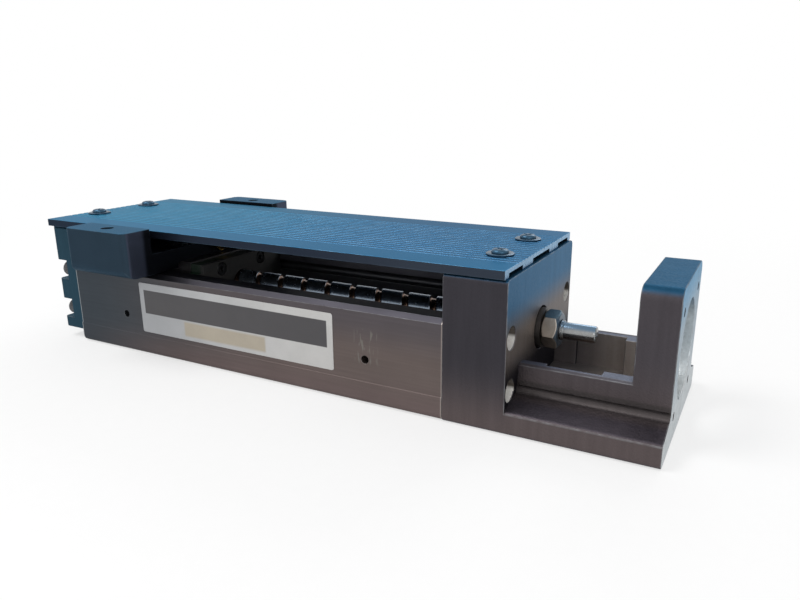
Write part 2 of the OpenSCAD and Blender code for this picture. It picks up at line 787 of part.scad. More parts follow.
// Pocket in the top of the block that takes the return tube
module tube_pocket() {
    low = tube_top_z - tube_bend_r;
    in_tube_frame() {
        for (x = [0, tube_span]) translate([x, 0, axis_z])
            cylinder(d = tube_d + 0.1, h = low - axis_z + 0.1);
        translate([-tube_pocket_w / 2, -tube_pocket_w / 2, low])
            cube([tube_span + tube_pocket_w, tube_pocket_w, block_z1 - low + eps]);
    }
}

module inner_block() {
    color([0.55, 0.55, 0.57]) difference() {
        x_run(steel_x0, steel_x1) block_section();
        x_rod(nut_bore_d, steel_x0 - eps, steel_x1 + eps);
        for (x = nut_ball_x) translate(groove_point(x)) sphere(r = nut_ball_r + ball_clear);
        both_sides() for (z = track_z) {
            x_rod(track_groove_d, steel_x0 - eps, steel_x1 + eps, -track_y, z);
            x_rod(track_groove_d, steel_x0 - eps, steel_x1 + eps, -track_return_y, z);
        }
        tube_pocket();
        translate([carriage_x - clamp_l / 2 - 0.2, -clamp_w / 2 - 0.2, block_z1 - clamp_t - 0.05])
            cube([clamp_l + 0.4, clamp_w + 0.4, clamp_t + eps]);
        at_clamp_screws() translate([0, 0, -clamp_t - 4])
            cylinder(d = m2_d + 2 * thread_clear, h = clamp_t + 4);
        for (sx = [-1, 1], sy = [-1, 1])
            translate([carriage_x + sx * table_screw_x, sy * table_screw_y, block_z1 - m4_hole_depth])
                cylinder(d = m4_d + 2 * thread_clear, h = m4_hole_depth + eps);
        at_plate_screws() {
            x_rod(m25_d + 2 * thread_clear, steel_x0 - eps, steel_x0 + plate_screw_depth + 0.5, 0, 0);
            x_rod(m25_d + 2 * thread_clear, steel_x1 - plate_screw_depth - 0.5, steel_x1 + eps, 0, 0);
        }
        translate([grease_x, 0, block_z1 - 4]) cylinder(d = grease_bore_d, h = 4 + eps);
    }
}

module at_plate_screws()
    both_sides() for (z = plate_screw_z) translate([0, -plate_screw_y, z]) children();

// End plate whose pockets turn the track balls from the loaded row to the return bore.
// side is -1 for the rear plate and +1 for the front plate
module end_plate(side) {
    face = side < 0 ? steel_x0 : steel_x1;
    x0 = min(face, face + side * end_plate_t);
    mid_y = (track_y + track_return_y) / 2;
    color([0.13, 0.3, 0.22]) difference() {
        x_run(x0, x0 + end_plate_t) end_section(0.2);
        x_rod(plate_bore_d, x0 - eps, x0 + end_plate_t + eps);
        both_sides() for (z = track_z)
            translate([face, -mid_y, z]) rotate([0, 0, side < 0 ? 90 : -90])
                rotate_extrude(angle = 180) translate([(track_y - track_return_y) / 2, 0])
                    circle(d = track_groove_d);
        at_plate_screws() x_rod(m25_d + 0.3, x0 - eps, x0 + end_plate_t + eps, 0, 0);
    }
}

module rear_end_plate() end_plate(-1);

module front_end_plate() end_plate(1);

module seal(x0)
    color([0.12, 0.12, 0.12]) difference() {
        x_run(x0, x0 + seal_t) end_section(0.05);
        x_rod(seal_bore_d, x0 - eps, x0 + seal_t + eps);
        at_plate_screws() x_rod(m25_head_d + 0.4, x0 - eps, x0 + seal_t + eps, 0, 0);
    }

module rear_seal() seal(carriage_x0);

module front_seal() seal(carriage_x1 - seal_t);

module end_plate_screws()
    color([0.2, 0.2, 0.21]) at_plate_screws() {
        cap_screw(steel_x0 - end_plate_t, 1, 0, 0, m25_d, m25_head_d, seal_t - 0.1,
            end_plate_t + plate_screw_depth, 1.6);
        cap_screw(steel_x1 + end_plate_t, -1, 0, 0, m25_d, m25_head_d, seal_t - 0.1,
            end_plate_t + plate_screw_depth, 1.6);
    }

// Closed path of one row of track balls: along the loaded row, round the front plate,
// back through the return bore and round the rear plate. s is the distance along it
track_run = steel_x1 - steel_x0;
track_turn_r = (track_y - track_return_y) / 2;
track_turn_l = PI * track_turn_r;
track_path_l = 2 * track_run + 2 * track_turn_l;
track_ball_pitch = 2 * track_turn_r * asin((track_ball_d + 0.05) / (2 * track_turn_r)) * PI / 180;
track_ball_count = floor(track_path_l / track_ball_pitch);
track_mid_y = (track_y + track_return_y) / 2;
function turn_angle(s) = 180 * s / track_turn_l;
function track_point(s) =
    s < track_run ? [steel_x0 + s, track_y]
    : s < track_run + track_turn_l
        ? [steel_x1 + track_turn_r * sin(turn_angle(s - track_run)),
            track_mid_y + track_turn_r * cos(turn_angle(s - track_run))]
    : s < 2 * track_run + track_turn_l
        ? [steel_x1 - (s - track_run - track_turn_l), track_return_y]
    : [steel_x0 - track_turn_r * sin(turn_angle(s - 2 * track_run - track_turn_l)),
        track_mid_y - track_turn_r * cos(turn_angle(s - 2 * track_run - track_turn_l))];

module track_balls(side)
    color([0.88, 0.89, 0.9]) for (z = track_z, i = [0:track_ball_count - 1]) {
        p = track_point((i + 0.5) * track_path_l / track_ball_count);
        translate([p[0], side * p[1], z]) sphere(d = track_ball_d);
    }

module track_balls_near() track_balls(-1);

module track_balls_far() track_balls(1);

// Balls in the loaded helix, then the balls that travel back through the tube
module nut_balls() {
    straight_l = tube_span - 2 * tube_bend_r;
    straight_n = floor(straight_l / nut_ball_pitch);
    color([0.88, 0.89, 0.9]) {
        for (x = nut_ball_x) translate(groove_point(x)) sphere(r = nut_ball_r);
        in_tube_frame() for (i = [0:straight_n])
            translate([tube_bend_r + straight_l * i / straight_n, 0, tube_top_z])
                sphere(r = nut_ball_r);
        in_tube_frame() for (x = [0, tube_span])
            translate([x, 0, tube_leg_z + 0.4]) sphere(r = nut_ball_r);
    }
}

module return_tube()
    color([0.7, 0.71, 0.73]) difference() {
        tube_solid(tube_d);
        tube_solid(tube_bore_d);
        in_tube_frame() for (x = [0, tube_span]) translate([x, 0, tube_leg_z - eps])
            cylinder(d = tube_bore_d, h = 2 * eps);
    }

module at_clamp_screws()
    for (side = [-1, 1])
        translate([carriage_x + side * clamp_screw[0], -side * clamp_screw[1], block_z1]) children();

// Plate that holds the return tube down
module tube_clamp()
    color([0.6, 0.61, 0.63]) difference() {
        translate([carriage_x - clamp_l / 2, -clamp_w / 2, block_z1 - clamp_t])
            cube([clamp_l, clamp_w, clamp_t - 0.05]);
        at_clamp_screws() translate([0, 0, -clamp_t - eps])
            cylinder(d = m2_d + 0.2, h = clamp_t + 2 * eps);
    }

module tube_clamp_screws()
    color([0.2, 0.2, 0.21]) at_clamp_screws() translate([0, 0, -clamp_t - 3.4])
        cylinder(d = m2_d, h = clamp_t + 3.3);

// ---------- table ----------

module table_section() {
    y = table_y;
    r = ear_round_r;
    polygon([
        [-table_wing_y, table_wing_z], [-table_wing_y, block_z1],
        [table_wing_y, block_z1], [table_wing_y, table_wing_z],
        [y - r, table_wing_z], [y, table_wing_z + r], [y, table_h],
        [ear_in_y, table_h], [ear_in_y, table_plate_z],
        [-ear_in_y, table_plate_z], [-ear_in_y, table_h],
        [-y, table_h], [-y, table_wing_z + r], [-y + r, table_wing_z]
    ]);
    for (side = [-1, 1]) translate([side * (y - r), table_wing_z + r]) circle(r = r);
}

module sub_table() {
    y = table_y;
    color([0.22, 0.33, 0.4]) difference() {
        intersection() {
            x_run(table_x0, table_x1) table_section();
            translate([0, 0, table_wing_z - eps]) linear_extrude(height = table_h)
                round_rect([table_x0, -y], [table_x1, y], ear_corner_r);
        }
        for (side = [-1, 1])
            translate([carriage_x, side * table_hole_y, table_h - table_tap_depth])
                cylinder(d = table_tap_d, h = table_tap_depth + eps);
        for (sx = [-1, 1], sy = [-1, 1])
            translate([carriage_x + sx * table_screw_x, sy * table_screw_y, 0]) {
                translate([0, 0, block_z1 - eps]) cylinder(d = m4_d + 0.5, h = 8);
                translate([0, 0, table_plate_z - m4_head_h - 0.1])
                    cylinder(d1 = m4_d + 0.5, d2 = m4_head_d + 0.7, h = m4_head_h + 0.2);
            }
        x_rod(nipple_d + 2 * thread_clear, table_x1 - 5, table_x1 + eps, 0, nipple_z);
        x_rod(grease_bore_d, grease_x, table_x1, 0, nipple_z);
        translate([grease_x, 0, block_z1 - eps])
            cylinder(d = grease_bore_d, h = nipple_z - block_z1 + eps);
    }
}

// Countersunk screws that hold the table down on the block
module sub_table_screws()
    color([0.2, 0.2, 0.21]) for (sx = [-1, 1], sy = [-1, 1])
        translate([carriage_x + sx * table_screw_x, sy * table_screw_y, table_plate_z])
            difference() {
                union() {
                    translate([0, 0, -m4_head_h]) cylinder(d1 = m4_d, d2 = m4_head_d, h = m4_head_h);
                    translate([0, 0, -table_screw_l]) cylinder(d = m4_d, h = table_screw_l - 1);
                }
                cylinder(d = 2.8, h = 3, center = true, $fn = 6);
            }

module grease_nipple()
    color([0.75, 0.63, 0.35]) difference() {
        union() {
            x_rod(nipple_d, table_x1 - 4, table_x1, 0, nipple_z);
            translate([table_x1, 0, nipple_z]) rotate([0, 90, 0]) cylinder(d = 4.4, h = 1.2, $fn = 6);
            x_cone(3.6, 2, table_x1 + 1.2, table_x1 + 2.4, 0, nipple_z);
            x_cone(2, 2.8, table_x1 + 2.4, table_x1 + 3.2, 0, nipple_z);
            translate([table_x1 + 3.6, 0, nipple_z]) sphere(d = nipple_d);
        }
        x_rod(0.8, table_x1 - 4 - eps, table_x1 + 6, 0, nipple_z);
    }

// ---------- drawing ----------

outer_rail();
name_plate();
end_housing();
end_housing_screws();
motor_housing();
motor_flange();
motor_housing_screws();
bearing_retainer();
retainer_screws();
front_bearing_outer_rings();
front_bearing_inner_rings();
front_bearing_balls();
end_bearing_outer_ring();
end_bearing_inner_ring();
end_bearing_balls();
end_retaining_ring();
bearing_collar();
lock_nut();
ball_screw();
rear_damper();
front_damper();
top_cover();
cover_washers();
cover_screws();
inner_block();
rear_end_plate();
front_end_plate();
rear_seal();
front_seal();
end_plate_screws();
track_balls_near();
track_balls_far();
nut_balls();
return_tube();
tube_clamp();
tube_clamp_screws();
sub_table();
sub_table_screws();
grease_nipple();
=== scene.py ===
"""Ball screw linear module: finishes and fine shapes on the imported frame."""

import math
from contextlib import contextmanager

import bmesh
import bpy
from mathutils import Matrix, Vector


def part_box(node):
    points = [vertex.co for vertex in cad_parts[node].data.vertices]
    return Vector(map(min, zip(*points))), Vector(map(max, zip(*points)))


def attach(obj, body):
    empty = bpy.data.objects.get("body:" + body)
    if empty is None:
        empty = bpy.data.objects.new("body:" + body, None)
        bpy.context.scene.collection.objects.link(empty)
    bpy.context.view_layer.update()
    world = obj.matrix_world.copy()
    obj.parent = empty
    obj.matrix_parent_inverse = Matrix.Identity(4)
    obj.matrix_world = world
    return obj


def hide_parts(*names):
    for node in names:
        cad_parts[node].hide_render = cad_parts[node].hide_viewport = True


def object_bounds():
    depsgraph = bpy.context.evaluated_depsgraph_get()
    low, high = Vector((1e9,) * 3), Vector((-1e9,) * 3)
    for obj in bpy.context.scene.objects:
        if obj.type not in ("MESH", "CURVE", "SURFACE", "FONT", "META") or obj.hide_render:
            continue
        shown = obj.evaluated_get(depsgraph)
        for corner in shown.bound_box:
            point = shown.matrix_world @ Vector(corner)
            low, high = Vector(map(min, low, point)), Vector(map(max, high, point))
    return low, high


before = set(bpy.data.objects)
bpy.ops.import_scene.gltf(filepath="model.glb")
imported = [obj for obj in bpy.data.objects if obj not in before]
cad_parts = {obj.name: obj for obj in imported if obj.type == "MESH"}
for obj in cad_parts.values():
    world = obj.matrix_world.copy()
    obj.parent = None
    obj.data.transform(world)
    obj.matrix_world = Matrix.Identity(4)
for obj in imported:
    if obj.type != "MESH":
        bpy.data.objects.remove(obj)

bl_info = {
    "name": "Ball Screw Linear Module",
    "version": (1, 0, 0),
    "blender": (4, 5, 0),
    "location": "3D View > Sidebar > Linear Module",
    "description": "Dresses a packed linear module with fine edges, threads and finishes",
    "category": "Object",
}

MM = 0.001
MERGE = 0.002 * MM  # points nearer than this are one point
CAD_BOX = [list(corner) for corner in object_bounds()]


def linear(hex_colour):
    """Turns an sRGB hex colour into the linear values that shader sockets take."""
    channels = [int(hex_colour[i:i + 2], 16) / 255 for i in (1, 3, 5)]
    curve = [c / 12.92 if c <= 0.04045 else ((c + 0.055) / 1.055) ** 2.4 for c in channels]
    return (*curve, 1.0)


def node_low(node):
    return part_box(node)[0]


def node_high(node):
    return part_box(node)[1]


# ---------- stations taken from the frame ----------

RAIL_X0 = node_low("outer_rail").x
RAIL_X1 = node_high("outer_rail").x
BLOCK_X1 = RAIL_X1 + 18.5 * MM
FLANGE_X0 = node_low("motor_flange").x
FLANGE_X1 = node_high("motor_flange").x
COVER_TOP = node_high("top_cover").z
AXIS_Z = 22 * MM


# ---------- sizes and colours that a user would change ----------

def length_choice(name, description, default, low, high):
    """A length that a user can set, given in millimetres."""
    return bpy.props.FloatProperty(
        name=name, description=description, default=default * MM, min=low * MM, max=high * MM,
        unit="LENGTH", precision=5)


def colour_choice(name, description, hex_colour):
    """A colour that a user can set."""
    return bpy.props.FloatVectorProperty(
        name=name, description=description, subtype="COLOR", size=4, min=0, max=1,
        default=linear(hex_colour))


class LinearModuleSizes(bpy.types.PropertyGroup):
    casting_edge: length_choice(
        "Casting edge", "Width of the tumbled edges of the two housings", 0.25, 0.05, 0.4)
    machined_edge: length_choice(
        "Machined edge", "Width of the broken edges of milled pieces", 0.15, 0.05, 0.2)
    rail_edge: length_choice(
        "Rail edge", "Width of the broken edges of the guide rail", 0.15, 0.05, 0.2)
    lead: length_choice("Lead", "Advance of the ball groove in one turn", 10, 4, 20)
    groove_radius: length_choice(
        "Groove radius", "Radius of the ball groove's cross section", 1.12, 0.5, 1.6)
    knurl_ribs: bpy.props.IntProperty(
        name="Knurl ribs", description="Number of ribs round the head of a socket screw",
        default=36, min=12, max=60)


class LinearModuleColours(bpy.types.PropertyGroup):
    # the next two colours are a painted blue sky reflection on the cover's upward faces, over its
    # dark anodised film
    cover_top_sky_reflection: colour_choice("Cover top", "Anodised colour of the cover", "#2b587b")
    cover_end_sky_reflection: colour_choice(
        "Cover end", "Deeper tone of the cover towards the end housing", "#2f7392")
    anodised_side: colour_choice(
        "Black anodised", "Upright faces of the motor housing", "#494549")
    # black anodising near the base, with a painted warm reflection from below
    anodised_low_warm_reflection: colour_choice(
        "Black anodised, low", "Tone of the motor housing near its base", "#5b5252")
    # a painted blue sky reflection on the housings' upward faces
    upward_sky_reflection: colour_choice(
        "Black anodised, top", "Bluish cast of its upward faces", "#1e455f")
    # a painted blue sky reflection on the upper part of the bearing block's end face
    end_face_sky_reflection: colour_choice(
        "Black anodised, end", "Milled end face of the bearing block", "#4f7391")
    # a painted cool reflection over the whole end housing
    end_housing_cool_reflection: colour_choice(
        "Black anodised, far", "Teal cast of the end housing", "#2b4350")
    table_side: colour_choice("Table side", "Upright faces of the table", "#2b3945")
    # a painted teal blue sky reflection on the table's upward faces
    table_top_sky_reflection: colour_choice("Table top", "Upward faces of the table", "#225471")
    # the rail's blackened steel, with a painted cool reflection towards the end housing and a
    # painted warm one towards the motor
    rail_tone_cool_reflection: colour_choice(
        "Rail, cool end", "Blackened steel towards the end housing", "#40464c")
    rail_tone_warm_reflection: colour_choice(
        "Rail, warm end", "Blackened steel towards the motor housing", "#665c59")
    film_pale: colour_choice("Name plate", "Pale film of the blank name plate", "#bbbab8")
    film_dark: colour_choice(
        "Name plate band", "Dark printed band of the blank name plate", "#383639")


# ---------- small helpers ----------

def add(tree, kind, inputs=None, **settings):
    """Adds one node, gives it its settings, and fills or links its inputs."""
    made = tree.nodes.new(kind)
    for name, value in settings.items():
        setattr(made, name, value)
    for key, value in (inputs or {}).items():
        if isinstance(value, bpy.types.NodeSocket):
            tree.links.new(value, made.inputs[key])
        else:
            made.inputs[key].default_value = value
    return made


@contextmanager
def edited(mesh):
    """Opens a mesh as a bmesh and writes it back at the end."""
    shape = bmesh.new()
    shape.from_mesh(mesh)
    yield shape
    shape.to_mesh(mesh)
    shape.free()


def object_of(mesh, name):
    made = bpy.data.objects.new(name, mesh)
    bpy.context.scene.collection.objects.link(made)
    return made


def plain_mesh(obj, name):
    """Replaces an object by the plain mesh that its modifiers give."""
    bpy.context.view_layer.update()
    graph = bpy.context.evaluated_depsgraph_get()
    mesh = bpy.data.meshes.new_from_object(
        obj.evaluated_get(graph), preserve_all_data_layers=True, depsgraph=graph)
    old = obj.data
    obj.modifiers.clear()
    obj.data = mesh
    mesh.name = name
    obj.name = name
    if old.users == 0:
        bpy.data.meshes.remove(old)
    return obj


def dress(piece, material, slot, body, *stands_for):
    """Gives a piece its one material, its body and the nodes it stands for. The slot is not used.
    """
    piece.data.materials.clear()
    piece.data.materials.append(material)
    for polygon in piece.data.polygons:
        polygon.material_index = 0
    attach(piece, body)
    if stands_for:
        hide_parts(*stands_for)


def face_values(mesh, name, value_of):
    """Stores one number for each face: value_of gets the face's centre and normal."""
    layer = mesh.attributes.new(name, "FLOAT", "FACE")
    for polygon, item in zip(mesh.polygons, layer.data):
        item.value = value_of(polygon.center, polygon.normal)


def closed_copy(node):
    """A copy of a node's mesh with its loose triangles merged."""
    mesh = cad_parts[node].data.copy()
    with edited(mesh) as shape:
        bmesh.ops.remove_doubles(shape, verts=shape.verts, dist=MERGE)
    mesh.materials.clear()
    return object_of(mesh, node + "_copy")


def united(node, other):
    """Copies of two nodes that meet face to face, made one solid."""
    piece, partner = closed_copy(node), closed_copy(other)
    union = piece.modifiers.new("Union", "BOOLEAN")
    union.operation = "UNION"
    union.solver = "EXACT"
    union.object = partner
    plain_mesh(piece, node + "_united")
    bpy.data.objects.remove(partner)
    return piece


def broken_edges(source, name, width, bare=None, skip=None):
    """Breaks the sharp outer edges of a copy by a narrow round, and marks those rounds.

    The source is a node's name or a copy already made. Faces where bare(centre, normal) is true
    are marked as metal without its coating. Edges where skip(middle) is true stay as they are."""
    piece = closed_copy(source) if isinstance(source, str) else source
    mesh = piece.data
    with edited(mesh) as shape:
        bmesh.ops.remove_doubles(shape, verts=shape.verts, dist=MERGE)
        bmesh.ops.dissolve_limit(shape, angle_limit=math.radians(0.3), verts=shape.verts,
                                 edges=shape.edges)
        weights = shape.edges.layers.float.new("bevel_weight_edge")
        for edge in shape.edges:
            if len(edge.link_faces) == 2 and edge.calc_face_angle(0) > math.radians(30):
                middle = (edge.verts[0].co + edge.verts[1].co) / 2
                if edge.is_convex and not (skip and skip(middle)):
                    edge[weights] = 1.0
                else:
                    edge.smooth = False
        for face in shape.faces:
            face.smooth = True
            face.material_index = 0
    mesh.materials.clear()
    for label in ("kept", "round"):
        mesh.materials.append(bpy.data.materials.get(label) or bpy.data.materials.new(label))
    rounding = piece.modifiers.new("Edge", "BEVEL")
    rounding.width = width
    rounding.segments = 2
    rounding.limit_method = "WEIGHT"
    rounding.use_clamp_overlap = False
    rounding.material = 1
    plain_mesh(piece, name)
    # where a round ends at an inner edge its end stays sharp, or flat faces would shade unevenly
    crease(piece.data, 50)
    flat = piece.modifiers.new("Flat faces", "WEIGHTED_NORMAL")
    flat.keep_sharp = True
    plain_mesh(piece, name)
    on_bevel = [float(p.material_index == 1) for p in piece.data.polygons]
    piece.data.attributes.new("bevel_faces", "FLOAT", "FACE").data.foreach_set("value", on_bevel)
    face_values(piece.data, "bare_metal", lambda c, n: float(bool(bare and bare(c, n))))
    return piece


# ---------- meshes made of rings ----------

def crease(mesh, degrees=32):
    """Marks edges sharp where the faces turn by more than this, and turns all faces outwards."""
    with edited(mesh) as shape:
        bmesh.ops.recalc_face_normals(shape, faces=shape.faces)
        if shape.calc_volume(signed=True) < 0:
            bmesh.ops.reverse_faces(shape, faces=shape.faces)
        for face in shape.faces:
            face.smooth = True
        for edge in shape.edges:
            edge.smooth = edge.calc_face_angle(0) < math.radians(degrees)


def ring_mesh(name, rings, closed=False):
    """Joins rings of points, each with the same number, by quads. The last ring meets the first
    one if closed. If not, both are single points, which are the poles of their fans."""
    mesh = bpy.data.meshes.new(name)
    with edited(mesh) as shape:
        loops = [[shape.verts.new(point) for point in ring] for ring in rings]
        for low, high in zip(loops, loops[1:] + loops[:1] * closed):
            count = max(len(low), len(high))
            for i in range(count):
                j = (i + 1) % count
                corners = [low[i % len(low)], low[j % len(low)],
                           high[j % len(high)], high[i % len(high)]]
                shape.faces.new(list(dict.fromkeys(corners)))
    crease(mesh)
    return mesh


def polar(radii, angles, height):
    """A ring of points at the given radii and angles, all at one height."""
    return [Vector((r * math.cos(a), r * math.sin(a), height)) for r, a in zip(radii, angles)]


def even(count):
    """Angles that go once round in equal steps."""
    return [2 * math.pi * i / count for i in range(count)]


def circle(radius, height, count=64):
    return polar([radius] * count, even(count), height)


def hexagon(across_flats, height, count=96):
    """A hexagon with the given number of points, so that it can be joined to circles."""
    angles = even(count)
    radii = [across_flats / 2 / math.cos((a + math.pi / 6) % (math.pi / 3) - math.pi / 6)
             for a in angles]
    return polar(radii, angles, height)


def cross(arm, half_width, height, angles):
    """The outline of a crossed recess, seen from its middle, at the given angles."""
    off = [(a + math.pi / 4) % (math.pi / 2) - math.pi / 4 for a in angles]
    radii = [min(arm / math.cos(o), half_width / max(abs(math.sin(o)), 1e-6)) for o in off]
    return polar(radii, angles, height)


def socket_head(name, diameter, height, socket, shank, length, ribs):
    """A knurled socket head screw: its seat is at height 0 and its head stands up."""
    count = ribs * 4
    knurl = [diameter / 2 * (1 - 0.035 * (i % 4 in (0, 1))) for i in range(count)]
    chamfer = 0.07 * diameter
    rings = [
        [Vector((0, 0, -length))],
        circle(shank / 2 * 0.8, -length, count),
        circle(shank / 2, -length + 0.1 * shank, count),
        circle(shank / 2, 0, count),
        circle(diameter / 2 * 0.93, 0, count),
        polar(knurl, even(count), chamfer * 0.6),
        polar(knurl, even(count), height - chamfer),
        circle(diameter / 2 * 0.93, height - chamfer * 0.45, count),
        circle(diameter / 2 * 0.86, height, count),
        circle(socket * 0.64, height, count),
        hexagon(socket, height - 0.06 * diameter, count),
        hexagon(socket, height * 0.42, count),
        [Vector((0, 0, height * 0.3))],
    ]
    return ring_mesh(name, rings)


def domed_head(name, diameter, height, shank, length):
    """A low domed screw head with a crossed recess: its seat is at height 0."""
    arm, half_width = 0.3 * diameter, 0.062 * diameter
    tip, inner = math.atan2(half_width, arm), math.pi / 4
    angles = []
    for quarter in range(4):
        for part in (-inner, -0.55 * inner, -tip, -0.4 * tip, 0, 0.4 * tip, tip, 0.55 * inner,
                     0.75 * inner):
            angles.append(quarter * math.pi / 2 + part)
        angles.append(quarter * math.pi / 2 + 0.9 * inner)
    dome = ((0.97, 0), (1, 0.06), (1, 0.36), (0.97, 0.55), (0.9, 0.74), (0.79, 0.9),
            (0.66, 0.985))
    rings = [
        [Vector((0, 0, -length))],
        polar([shank / 2] * len(angles), angles, -length),
        polar([shank / 2] * len(angles), angles, 0),
        *(polar([diameter / 2 * wide] * len(angles), angles, level * height)
          for wide, level in dome),
        cross(arm * 1.06, half_width * 1.25, height, angles),
        cross(arm, half_width, 0.92 * height, angles),
        cross(arm * 0.72, half_width * 0.72, 0.3 * height, angles),
        [Vector((0, 0, 0.22 * height))],
    ]
    return ring_mesh(name, rings)


def turned(name, profile, count=96):
    """A solid turned about +Z from (radius, height) pairs that start and end on the axis."""
    rings = [[Vector((0, 0, z))] if r == 0 else circle(r, z, count) for r, z in profile]
    return ring_mesh(name, rings)


# ---------- Geometry Nodes ----------

def geometry_tree(name, inputs):
    """Makes a geometry tree with named inputs and a material. Returns it and a name to
    identifier map."""
    tree = bpy.data.node_groups.new(name, "GeometryNodeTree")
    tree.interface.new_socket("Geometry", in_out="INPUT", socket_type="NodeSocketGeometry")
    sockets = {}
    for label, kind, value in (*inputs, ("Material", "NodeSocketMaterial", None)):
        socket = tree.interface.new_socket(label, in_out="INPUT", socket_type=kind)
        if value is not None:
            socket.default_value = value
        sockets[label] = socket.identifier
    tree.interface.new_socket("Geometry", in_out="OUTPUT", socket_type="NodeSocketGeometry")
    return tree, sockets


def close_tree(tree, geometry, given):
    """Ends a geometry tree with real geometry in the given material."""
    real = add(tree, "GeometryNodeRealizeInstances", {"Geometry": geometry})
    finish = add(tree, "GeometryNodeSetMaterial", {
        "Geometry": real.outputs[0], "Material": given.outputs["Material"]})
    add(tree, "NodeGroupOutput", {"Geometry": finish.outputs[0]})


def grown(name, tree, sockets, mesh, values):
    """Runs a geometry tree on a mesh with the given inputs and returns the result as a mesh."""
    piece = object_of(mesh, name)
    modifier = piece.modifiers.new("Grow", "NODES")
    modifier.node_group = tree
    for label, value in values.items():
        modifier[sockets[label]] = value
    return plain_mesh(piece, name)


def instance_tree():
    """Sets one head on each point, tips it to face the right way and gives it its own turn."""
    tree, sockets = geometry_tree("repeated_fastener", [
        ("Head", "NodeSocketObject", None),
        ("Facing", "NodeSocketVector", None),
        ("Most Turn", "NodeSocketFloat", math.pi),
        ("Seed", "NodeSocketInt", 3)])
    given = add(tree, "NodeGroupInput")
    head = add(tree, "GeometryNodeObjectInfo", {"Object": given.outputs["Head"]})
    turn = add(tree, "FunctionNodeRandomValue", {
        3: given.outputs["Most Turn"], "Seed": given.outputs["Seed"]}, data_type="FLOAT")
    spin = add(tree, "ShaderNodeCombineXYZ", {"Z": turn.outputs[1]})
    about = add(tree, "FunctionNodeEulerToRotation", {"Euler": spin.outputs[0]})
    tipped = add(tree, "FunctionNodeEulerToRotation", {"Euler": given.outputs["Facing"]})
    facing = add(tree, "FunctionNodeRotateRotation", {
        "Rotation": tipped.outputs[0], "Rotate By": about.outputs[0]}, rotation_space="LOCAL")
    points = add(tree, "GeometryNodeMeshToPoints", {"Mesh": given.outputs["Geometry"]})
    placed = add(tree, "GeometryNodeInstanceOnPoints", {
        "Points": points.outputs[0], "Instance": head.outputs["Geometry"],
        "Rotation": facing.outputs[0]})
    close_tree(tree, placed.outputs[0], given)
    return tree, sockets


def repeated(name, head_mesh, places, facing, material, most_turn=math.pi, seed=3):
    """One piece made of copies of a head mesh at the given places."""
    tree, sockets = instance_tree()
    head = object_of(head_mesh, name + "_pattern")
    spots = bpy.data.meshes.new(name + "_spots")
    spots.from_pydata([tuple(p) for p in places], [], [])
    piece = grown(name, tree, sockets, spots, {
        "Head": head, "Facing": facing, "Most Turn": most_turn, "Seed": seed,
        "Material": material})
    bpy.data.objects.remove(head)
    return piece


def winding_tree():
    """Winds a straight rod about its axis, so that what runs along it becomes a helix."""
    tree, sockets = geometry_tree("wound_rod", [
        ("Start", "NodeSocketFloat", 0.0),
        ("Lead", "NodeSocketFloat", 0.01),
        ("Start Angle", "NodeSocketFloat", 0.0),
        ("Axis Height", "NodeSocketFloat", 0.022)])
    given = add(tree, "NodeGroupInput")
    values = given.outputs
    place = add(tree, "GeometryNodeInputPosition")
    here = add(tree, "ShaderNodeSeparateXYZ", {0: place.outputs[0]})
    travel = add(tree, "ShaderNodeMath", {0: here.outputs["X"], 1: values["Start"]},
                 operation="SUBTRACT")
    turns = add(tree, "ShaderNodeMath", {0: travel.outputs[0], 1: values["Lead"]},
                operation="DIVIDE")
    angle = add(tree, "ShaderNodeMath", {
        0: turns.outputs[0], 1: 2 * math.pi, 2: values["Start Angle"]},
        operation="MULTIPLY_ADD")
    axis = add(tree, "ShaderNodeCombineXYZ", {"Z": values["Axis Height"]})
    wound = add(tree, "ShaderNodeVectorRotate", {
        "Vector": place.outputs[0], "Center": axis.outputs[0], "Angle": angle.outputs[0]},
        rotation_type="X_AXIS")
    moved = add(tree, "GeometryNodeSetPosition", {
        "Geometry": values["Geometry"], "Position": wound.outputs[0]})
    close_tree(tree, moved.outputs[0], given)
    return tree, sockets


def wound_rod(name, material, start, length, radii, lead, start_angle, steps_along,
              steps_around):
    """One rod with a rounded groove wound on it.

    The radii are those of the rod, of the groove's centre line and of its cross section."""
    rod, path, groove = radii
    half_width = math.sqrt(groove ** 2 - (path - rod) ** 2)
    per_angle = path * math.sin(math.atan(lead / (2 * math.pi * path)))
    half_angle = half_width / per_angle
    cut = max(steps_around // 2, round(steps_around * half_angle / math.pi))
    outline = []
    for i in range(cut):
        angle = half_angle * (2 * i / cut - 1)
        sunk = math.sqrt(max(groove ** 2 - (angle * per_angle) ** 2, 0))
        outline.append((angle, min(rod, path - sunk)))
    land = steps_around - cut
    for i in range(land):
        outline.append((half_angle + (2 * math.pi - 2 * half_angle) * i / land, rod))
    rings = [[Vector((start, 0, AXIS_Z))]]
    for step in range(steps_along + 1):
        x = start + length * step / steps_along
        rings.append([Vector((x, r * math.cos(a), AXIS_Z + r * math.sin(a)))
                      for a, r in outline])
    rings.append([Vector((start + length, 0, AXIS_Z))])
    tree, sockets = winding_tree()
    piece = grown(name, tree, sockets, ring_mesh(name, rings), {
        "Start": start, "Lead": lead, "Start Angle": start_angle, "Axis Height": AXIS_Z,
        "Material": material})
    crease(piece.data)
    return piece


def joined(name, pieces):
    """Makes one object of several, which are removed."""
    mesh = bpy.data.meshes.new(name)
    with edited(mesh) as shape:
        for piece in pieces:
            shape.from_mesh(piece.data)
            bpy.data.objects.remove(piece)
    return object_of(mesh, name)


